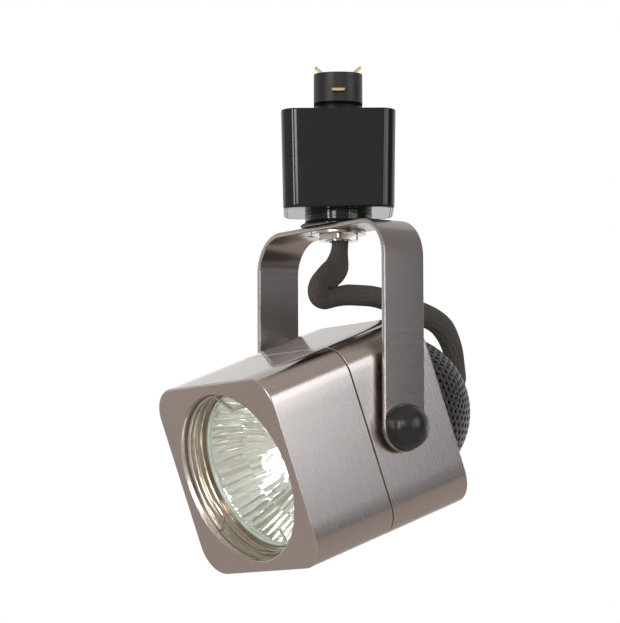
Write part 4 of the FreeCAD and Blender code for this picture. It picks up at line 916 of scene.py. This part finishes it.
# %% Dome mesh
flange_height, flange_radius, sheet_thick = -17.7, 26.6, 0.8
skirt = turned(np.array([
    (DOME_RADIUS, ball_middle), (DOME_RADIUS, flange_height), (flange_radius, flange_height)]), 120)
skirt_index = np.arange(skirt[..., 0].size).reshape(skirt.shape[:2]) + shell_points[..., 0].size
next_index = np.roll(skirt_index, -1, 1)
skirt_quads = np.stack([skirt_index[:-1], next_index[:-1], next_index[1:], skirt_index[1:]], -1)
dome_mesh = bpy.data.meshes.new("pierced_dome")
dome_mesh.from_pydata(
    on_head(np.concatenate([shell_points.reshape(-1, 3), skirt.reshape(-1, 3)])), [],
    np.concatenate([quads, skirt_quads.reshape(-1, 4)]))
work = bmesh.new()
work.from_mesh(dome_mesh)
bmesh.ops.remove_doubles(work, verts=work.verts, dist=2e-6)
bmesh.ops.dissolve_degenerate(work, edges=work.edges, dist=1e-6)
bmesh.ops.recalc_face_normals(work, faces=work.faces)
ball_centre = Vector(on_head([0, 0, ball_middle]))
outward = [face.normal.dot(face.calc_center_median() - ball_centre) > 0 for face in work.faces]
if sum(outward) < len(outward) / 2:
    bmesh.ops.reverse_faces(work, faces=work.faces)
work.to_mesh(dome_mesh)
work.free()
dome_mesh.polygons.foreach_set("use_smooth", np.ones(len(dome_mesh.polygons), bool))
dome_mesh.set_sharp_from_angle(angle=math.radians(40))
dome = bpy.data.objects.new("pierced_dome", dome_mesh)
bpy.context.scene.collection.objects.link(dome)
wall = dome.modifiers.new("sheet", "SOLIDIFY")
wall.thickness = sheet_thick * MM
wall.offset = -1.0
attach(dome, "head")
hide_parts("vent_dome")
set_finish(dome, "dome_paint")
print("dome faces", len(dome_mesh.polygons))

# %% [markdown]
# ## The rubber bush
#
# A soft bush lines the sleeve's hole, so that the sheet's edge doesn't cut the weave. It is a ring
# with a groove that grips the sheet, and one turned profile gives the lip, the groove and the bore.

# %% Bush
bush_bore, groove_radius, bush_radius, bush_top, bush_low = 3.05, 4.4, 5.2, -46.6, -43.9
bush = lathe("sleeve_bush", [
    (bush_bore, bush_top, 0.3), (groove_radius, bush_top, 0.4), (bush_radius, -45.9, 0.35),
    (bush_radius, -45.3, 0.1), (groove_radius, -45.45, 0.0), (groove_radius, -44.7, 0.0),
    (bush_radius, -44.5, 0.1), (bush_radius, bush_low, 0.2), (bush_bore, bush_low, 0.1)],
    on_head, steps=4)
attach(bush, "head")
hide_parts("cable_bush")
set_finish(bush, "bush_rubber")

# %% [markdown]
# ## How a finish is made
#
# A finish is a Principled shader whose colour, roughness and bump are moved a little by noise, as a
# real surface is by brushing, moulding and wear. One helper makes the shader, and another adds a
# noise, stretched along the grain, and drives the sockets from it.


# %% Finish helpers
def finish(name, colour, metal=0.0, rough=0.5, **sockets):
    """A material with one Principled shader; a value that is the same all over is set on its socket."""
    material = bpy.data.materials.new(name)
    material.use_nodes = True
    shader = material.node_tree.nodes["Principled BSDF"]
    shader.inputs["Base Color"].default_value = (*colour, 1.0)
    shader.inputs["Metallic"].default_value = metal
    shader.inputs["Roughness"].default_value = rough
    for socket, value in sockets.items():
        shader.inputs[socket.replace("_", " ")].default_value = value
    return material


def node(material, kind, **values):
    """A new node, with inputs set by name and properties set by attribute."""
    made = material.node_tree.nodes.new(kind)
    for key, value in values.items():
        if key in made.inputs:
            made.inputs[key].default_value = value
        else:
            setattr(made, key, value)
    return made


def link(material, output, socket):
    """Joins an output to an input of the same material."""
    material.node_tree.links.new(output, socket)


def ranged(material, value, low, high, first_result, last_result):
    """The output of a map from low..high to first_result..last_result, held at both ends."""
    spread = node(material, "ShaderNodeMapRange")
    settings = {"From Min": low, "From Max": high, "To Min": first_result, "To Max": last_result}
    for socket, setting in settings.items():
        spread.inputs[socket].default_value = setting
    link(material, value, spread.inputs["Value"])
    return spread.outputs["Result"]


def ramped(material, positions, colours):
    """A ramp that runs from one colour to another between two positions."""
    ramp = node(material, "ShaderNodeValToRGB")
    for element, position, colour in zip(ramp.color_ramp.elements, positions, colours):
        element.position = position
        element.color = (*colour, 1)
    return ramp


NOISE_LOW, NOISE_HIGH = 0.3, 0.7  # nearly all of a noise lies between these two values


def mottled(material, scale, colours, roughs, bump=0.0, depth=0.0001, by_map=False, placed=None):
    """Noise at a scale per metre each way moves colour, roughness and height between two values."""
    shader = material.node_tree.nodes["Principled BSDF"]
    source = node(material, "ShaderNodeTexCoord").outputs["UV" if by_map else "Object"]
    if placed is not None:
        turn = node(
            material, "ShaderNodeMapping", vector_type="TEXTURE", Location=placed[0], Rotation=placed[1])
        link(material, source, turn.inputs["Vector"])
        source = turn.outputs["Vector"]
    stretch = node(material, "ShaderNodeMapping", Scale=scale)
    link(material, source, stretch.inputs["Vector"])
    noise = node(material, "ShaderNodeTexNoise", Scale=1.0, Detail=4.0, Roughness=0.6)
    link(material, stretch.outputs["Vector"], noise.inputs["Vector"])
    ramp = ramped(material, (NOISE_LOW, NOISE_HIGH), colours)
    link(material, noise.outputs["Fac"], ramp.inputs["Fac"])
    link(material, ramp.outputs["Color"], shader.inputs["Base Color"])
    rough = ranged(material, noise.outputs["Fac"], NOISE_LOW, NOISE_HIGH, *roughs)
    link(material, rough, shader.inputs["Roughness"])
    if bump:
        raised = node(material, "ShaderNodeBump", Strength=bump, Distance=depth)
        link(material, noise.outputs["Fac"], raised.inputs["Height"])
        link(material, raised.outputs["Normal"], shader.inputs["Normal"])
    return material


def grained(material, amount):
    """Brushing stretches reflections across its grain, which runs round each ring of the piece's map."""
    shader = material.node_tree.nodes["Principled BSDF"]
    shader.inputs["Anisotropic"].default_value = amount
    shader.inputs["Anisotropic Rotation"].default_value = 0.25
    along = node(material, "ShaderNodeTangent", direction_type="UV_MAP", uv_map="laid_out")
    link(material, along.outputs["Tangent"], shader.inputs["Tangent"])
    return material


print("materials before any finish", len(bpy.data.materials))

# %% [markdown]
# ## Brushed nickel
#
# The head and the yoke are brushed and plated. Brushing leaves fine scratches all in one direction,
# so the noise is stretched along the grain and squeezed 40 to 100 times across it, and highlights
# spread across the grain. The head's grain runs round its four sides, so the pattern is laid in the
# head's own directions. The yoke's grain runs across the strap and follows the strap's own map.
# The head's top is smoother than the rest: there the roughness is scaled down by how far the
# surface faces the head's crown.

# %% Brushed metals
head_turn = Matrix(np.column_stack([across, crown, beam])).to_euler()
head_place = (tuple(pivot * MM), tuple(head_turn))
brushed_shell = grained(mottled(
    finish("brushed_nickel_head", (0.66, 0.59, 0.56), 1.0, 0.27), (25, 25, 2600),
    ((0.645, 0.581, 0.55), (0.67, 0.602, 0.57)), (0.26, 0.28), 0.008, 0.00002, placed=head_place), 0.55)
brushed_yoke = grained(mottled(
    finish("brushed_nickel_yoke", (0.5, 0.45, 0.42), 1.0, 0.22), (60, 2600, 1),
    ((0.48, 0.433, 0.408), (0.52, 0.47, 0.445)), (0.215, 0.245), 0.01, 0.00002, by_map=True), 0.6)
shell_shader = brushed_shell.node_tree.nodes["Principled BSDF"]
facing = node(brushed_shell, "ShaderNodeVectorMath", operation="DOT_PRODUCT")
facing.inputs[1].default_value = tuple(crown)
link(brushed_shell, node(brushed_shell, "ShaderNodeTexCoord").outputs["Normal"], facing.inputs[0])
top_begins, full_top, top_share = 0.75, 0.97, 0.3
shine = ranged(brushed_shell, facing.outputs["Value"], top_begins, full_top, 1.0, top_share)
worn = node(brushed_shell, "ShaderNodeMath", operation="MULTIPLY")
link(brushed_shell, shell_shader.inputs["Roughness"].links[0].from_socket, worn.inputs[0])
link(brushed_shell, shine, worn.inputs[1])
link(brushed_shell, worn.outputs["Value"], shell_shader.inputs["Roughness"])
print("brushed:", brushed_shell.name, brushed_yoke.name)

# %% [markdown]
# ## Bright metals
#
# The cup is spun and polished, and its colour is darkened and warmed as a painted reflection of the
# dark, warm surroundings that it mirrors. Nut, washer, clip and screws are plain nickel-plated
# steel, and the contacts are bare brass. None of them has a grain, so one
# even noise clouds the colour and the roughness a little.

# %% Bright metals
# The cup's dark warm colour is a painted reflection of the dark, warm surroundings it mirrors.
polished = mottled(
    finish("polished_cup", (0.55, 0.49, 0.41), 1.0, 0.18), (80, 80, 80),
    ((0.51, 0.455, 0.375), (0.58, 0.52, 0.44)), (0.15, 0.21))
steel = mottled(
    finish("plated_steel", (0.7, 0.68, 0.64), 1.0, 0.2), (300, 300, 300),
    ((0.66, 0.64, 0.60), (0.74, 0.72, 0.68)), (0.16, 0.28), 0.1, 0.0001)
brass = mottled(
    finish("contact_brass", (0.78, 0.6, 0.32), 1.0, 0.25), (300, 300, 300),
    ((0.72, 0.54, 0.28), (0.82, 0.64, 0.36)), (0.2, 0.34))
print("bright:", polished.name, steel.name, brass.name)

# %% [markdown]
# ## Black mouldings
#
# The adapter is a glossy moulding with a skin that is almost a mirror. The knobs come from a
# textured mould, so their highlight is wider. The key is glass-filled nylon, which is duller still.
# Only the roughness and the height of a fine noise tell the three apart.

# %% Black mouldings
gloss_black = mottled(
    finish("gloss_black_moulding", (0.012, 0.014, 0.014), 0.0, 0.12), (60, 60, 60),
    ((0.010, 0.012, 0.012), (0.014, 0.017, 0.017)), (0.09, 0.12), 0.006, 0.0002)
knob_black = mottled(
    finish("charcoal_knob", (0.022, 0.024, 0.025), 0.0, 0.26), (300, 300, 300),
    ((0.018, 0.020, 0.021), (0.026, 0.028, 0.029)), (0.22, 0.3), 0.05, 0.0002)
key_nylon = mottled(
    finish("key_moulding", (0.02, 0.02, 0.02), 0.0, 0.4), (200, 200, 200),
    ((0.016, 0.016, 0.016), (0.026, 0.026, 0.026)), (0.35, 0.5), 0.1, 0.0002)
print("mouldings:", gloss_black.name, knob_black.name, key_nylon.name)

# %% [markdown]
# ## The lamp's finishes
#
# The bowl is a mirror coating on glass. It glows a little itself, which stands for the light that
# bounces many times between the small mirrors of a burning lamp. The disc in front is clear, which
# an opacity of a few per cent with a sharp gloss shows at once, without the long light paths of real
# refraction. The capsule burns: the same noise that dents it also drives how strongly it glows.

# %% Lamp finishes
mirror = mottled(
    finish("mirror_coating", (0.9, 0.93, 0.9), 1.0, 0.06, Emission_Color=(0.88, 0.95, 0.86, 1),
           Emission_Strength=0.05), (200, 200, 200),
    ((0.86, 0.90, 0.87), (0.95, 0.97, 0.94)), (0.04, 0.1))
glass = finish("lamp_glass", (0.86, 0.95, 0.91), 0.0, 0.03, Alpha=0.06)
ripple = node(glass, "ShaderNodeTexNoise", Scale=60.0, Detail=2.0)
link(glass, node(glass, "ShaderNodeTexCoord").outputs["Object"], ripple.inputs["Vector"])
link(glass, ranged(glass, ripple.outputs["Fac"], NOISE_LOW, NOISE_HIGH, 0.02, 0.05),
     glass.node_tree.nodes["Principled BSDF"].inputs["Roughness"])
rim_glass = mottled(
    finish("rim_glass", (0.46, 0.54, 0.49), 0.0, 0.12), (150, 150, 150),
    ((0.43, 0.51, 0.46), (0.49, 0.57, 0.52)), (0.1, 0.15))
glow = mottled(
    finish("lit_capsule", (0.9, 0.92, 0.9), 0.0, 0.1), (380, 380, 380),
    ((0.5, 0.52, 0.5), (1.0, 1.0, 0.98)), (0.05, 0.15), 0.6, 0.0006)
glow_shader = glow.node_tree.nodes["Principled BSDF"]
glow_shader.inputs["Emission Color"].default_value = (1.0, 0.98, 0.92, 1)
glow_noise = glow.node_tree.nodes["Noise Texture"].outputs["Fac"]
faint, strong = 0.4, 11.0
link(glow, ranged(glow, glow_noise, 0.42, 0.56, faint, strong), glow_shader.inputs["Emission Strength"])
print("lamp:", mirror.name, glass.name, rim_glass.name, glow.name)

# %% [markdown]
# ## Paint, rubber, ceramic and weave
#
# The dome is dusted with matt olive paint, whose grain is fine and even. The bush is rubber and the
# lamp's foot is unglazed ceramic. The sleeve's yarns are a third of a millimetre wide, so a noise of
# that size, with a strong bump, gives the flecks of single threads on top of the woven shape.

# %% Soft and matt finishes
olive_paint = mottled(
    finish("dome_paint", (0.03, 0.03, 0.026), 0.0, 0.35), (900, 900, 900),
    ((0.024, 0.023, 0.02), (0.036, 0.035, 0.031)), (0.28, 0.42), 0.15, 0.0001)
rubber = mottled(
    finish("rubber", (0.015, 0.015, 0.015), 0.0, 0.7), (500, 500, 500),
    ((0.012, 0.012, 0.012), (0.02, 0.02, 0.02)), (0.6, 0.8), 0.2, 0.0002)
ceramic = mottled(
    finish("ceramic", (0.8, 0.78, 0.73), 0.0, 0.5), (400, 400, 400),
    ((0.76, 0.74, 0.69), (0.84, 0.82, 0.78)), (0.4, 0.6), 0.1, 0.0002)
woven = mottled(
    finish("woven_sleeve", (0.08, 0.073, 0.065), 0.0, 0.75), (3500, 3500, 3500),
    ((0.03, 0.027, 0.023), (0.16, 0.145, 0.13)), (0.65, 0.9), 0.5, 0.0003)
lead_skin = mottled(
    finish("lead_cover", (0.7, 0.7, 0.68), 0.0, 0.45), (400, 400, 400),
    ((0.66, 0.66, 0.64), (0.75, 0.75, 0.73)), (0.4, 0.5))
print("matt:", olive_paint.name, rubber.name, ceramic.name, woven.name, lead_skin.name)

# %% [markdown]
# ## Every surface gets its finish
#
# The record names a slot for every node, and every new piece names the slot that it takes. So one
# table from slot to finish dresses both the new pieces and the nodes that stay as they came. Two
# surfaces are set by hand: the burning capsule, and the bare glass of the bowl's outer rim.

# %% Put the finishes on
finishes = {
    "adapter_black": gloss_black, "key_plastic": key_nylon, "contact_metal": brass,
    "plated_steel": steel, "brushed_yoke": brushed_yoke, "brushed_shell": brushed_shell,
    "polished_cup": polished, "lamp_mirror": mirror, "lamp_glass": glass, "ceramic_white": ceramic,
    "dome_paint": olive_paint, "bush_rubber": rubber, "knob_plastic": knob_black, "braid": woven,
    "lead_cover": lead_skin}
for piece in list(bpy.data.objects):
    if piece.type == "MESH" and "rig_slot" in piece.keys():
        piece.data.materials.clear()
        piece.data.materials.append(finishes[piece["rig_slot"]])
capsule.data.materials[0] = glow
bowl.data.materials.append(rim_glass)
face_middles = np.zeros(len(bowl.data.polygons) * 3)
bowl.data.polygons.foreach_get("center", face_middles)
from_axis = np.cross(face_middles.reshape(-1, 3) - pivot * MM, beam)
coated_radius = 24.3 * MM
on_rim = np.linalg.norm(from_axis, axis=1) > coated_radius
bowl.data.polygons.foreach_set("material_index", on_rim.astype(np.int32))
for entry in frame["record"]["subparts"]:
    for held in nodes[entry["node"]].material_slots:
        held.material = finishes[entry["material_slot"]]

# %% [markdown]
# ## The stage
#
# The part hangs in front of a plain white backdrop that glows, over a plain pale floor. Polished and
# brushed metal show what stands round them far more than the light that falls on them, so the
# stage is part of the finish: the floor's warm grey is what the head's face mirrors. The backdrop
# dims above the camera's view, because the head's top mirrors that part of it.

# %% Stage
scene = bpy.context.scene
scene.view_settings.view_transform = "Standard"
full_glow_height, dim_height, dimmed = 0.36, 0.5, 0.6


def sheet_of(name, corners, colour, glowing=False):
    """A flat four-cornered stage piece."""
    mesh = bpy.data.meshes.new(name)
    mesh.from_pydata(corners, [], [(0, 1, 2, 3)])
    piece = bpy.data.objects.new(name, mesh)
    bpy.context.scene.collection.objects.link(piece)
    material = finish(name, colour, 0.0, 0.9)
    if glowing:
        shader = material.node_tree.nodes["Principled BSDF"]
        shader.inputs["Emission Color"].default_value = (1, 1, 1, 1)
        height = node(material, "ShaderNodeSeparateXYZ")
        link(material, node(material, "ShaderNodeTexCoord").outputs["Object"], height.inputs["Vector"])
        strength = ranged(material, height.outputs["Z"], full_glow_height, dim_height, 1.0, dimmed)
        link(material, strength, shader.inputs["Emission Strength"])
    mesh.materials.append(material)
    return piece


left_end, right_end, near_edge, far_edge, floor_level, backdrop_top = -6, 6, -3, 1.6, -0.5, 3
floor_corners = [
    (left_end, near_edge, floor_level), (right_end, near_edge, floor_level),
    (right_end, far_edge, floor_level), (left_end, far_edge, floor_level)]
backdrop_corners = [
    (left_end, far_edge, floor_level), (right_end, far_edge, floor_level),
    (right_end, far_edge, backdrop_top), (left_end, far_edge, backdrop_top)]
floor = sheet_of("floor", floor_corners, (0.66, 0.60, 0.57))
backdrop = sheet_of("backdrop", backdrop_corners, (0, 0, 0), glowing=True)
print("stage:", floor.name, backdrop.name)

# %% [markdown]
# ## The room and the lamps
#
# The room is a soft grey that is brighter above and on the left, and darker on the right, so that
# the head's side falls off into shade. A wide softbox on the right is what makes the long bright
# band under the head's upper edge. Two upright strips draw the thin lines on the black mouldings,
# and a small box near the camera puts the spot on the knob.

# %% Room
room = bpy.data.worlds.new("studio")
room.use_nodes = True
brightest, shade, light = (-0.78, -0.62, 0.9), (0.085, 0.088, 0.102), (0.45, 0.41, 0.38)
toward = node(room, "ShaderNodeVectorMath", operation="DOT_PRODUCT")
toward.inputs[1].default_value = brightest
link(room, node(room, "ShaderNodeTexCoord").outputs["Generated"], toward.inputs[0])
brightness = node(room, "ShaderNodeMath", operation="MULTIPLY_ADD")
brightness.inputs[1].default_value, brightness.inputs[2].default_value = 0.7, 0.38
link(room, toward.outputs["Value"], brightness.inputs[0])
fade = ramped(room, (0.0, 0.75), (shade, light))
link(room, brightness.outputs["Value"], fade.inputs["Fac"])
link(room, fade.outputs["Color"], room.node_tree.nodes["Background"].inputs["Color"])
scene.world = room
print("room:", room.name, "brightest towards", brightest)


# %% Softboxes
def softbox(name, place, aim, wide, tall, power, colour=(1, 1, 1)):
    """A rectangular area lamp at a place, facing a point."""
    lamp = bpy.data.lights.new(name, "AREA")
    lamp.shape = "RECTANGLE"
    lamp.size, lamp.size_y, lamp.energy, lamp.color = wide, tall, power, colour
    holder = bpy.data.objects.new(name, lamp)
    away = np.array(place) - np.array(aim)
    away = away / np.linalg.norm(away)
    side = np.cross(upward, away)
    side /= np.linalg.norm(side)
    holder.matrix_world = Matrix.Translation(place) @ Matrix(
        np.column_stack([side, np.cross(away, side), away])).to_4x4()
    bpy.context.scene.collection.objects.link(holder)
    return holder


softbox("right_softbox", (0.5, -0.38, 0.1), (0.0, -0.38, 0.1), 0.315, 0.4, 0.91, (0.9, 0.95, 1.0))
softbox("right_strip", (0.5, -0.66, 0.0), (0, 0, -0.04), 0.06, 0.5, 0.3)
softbox("left_strip", (-0.46, -0.66, 0.0), (0, 0, -0.04), 0.07, 0.5, 1.2)
softbox("front_softbox", (-0.26, -0.92, 0.16), (0, 0, -0.06), 0.2, 0.2, 0.9)
print("lamps:", [lamp.name for lamp in bpy.data.lights])
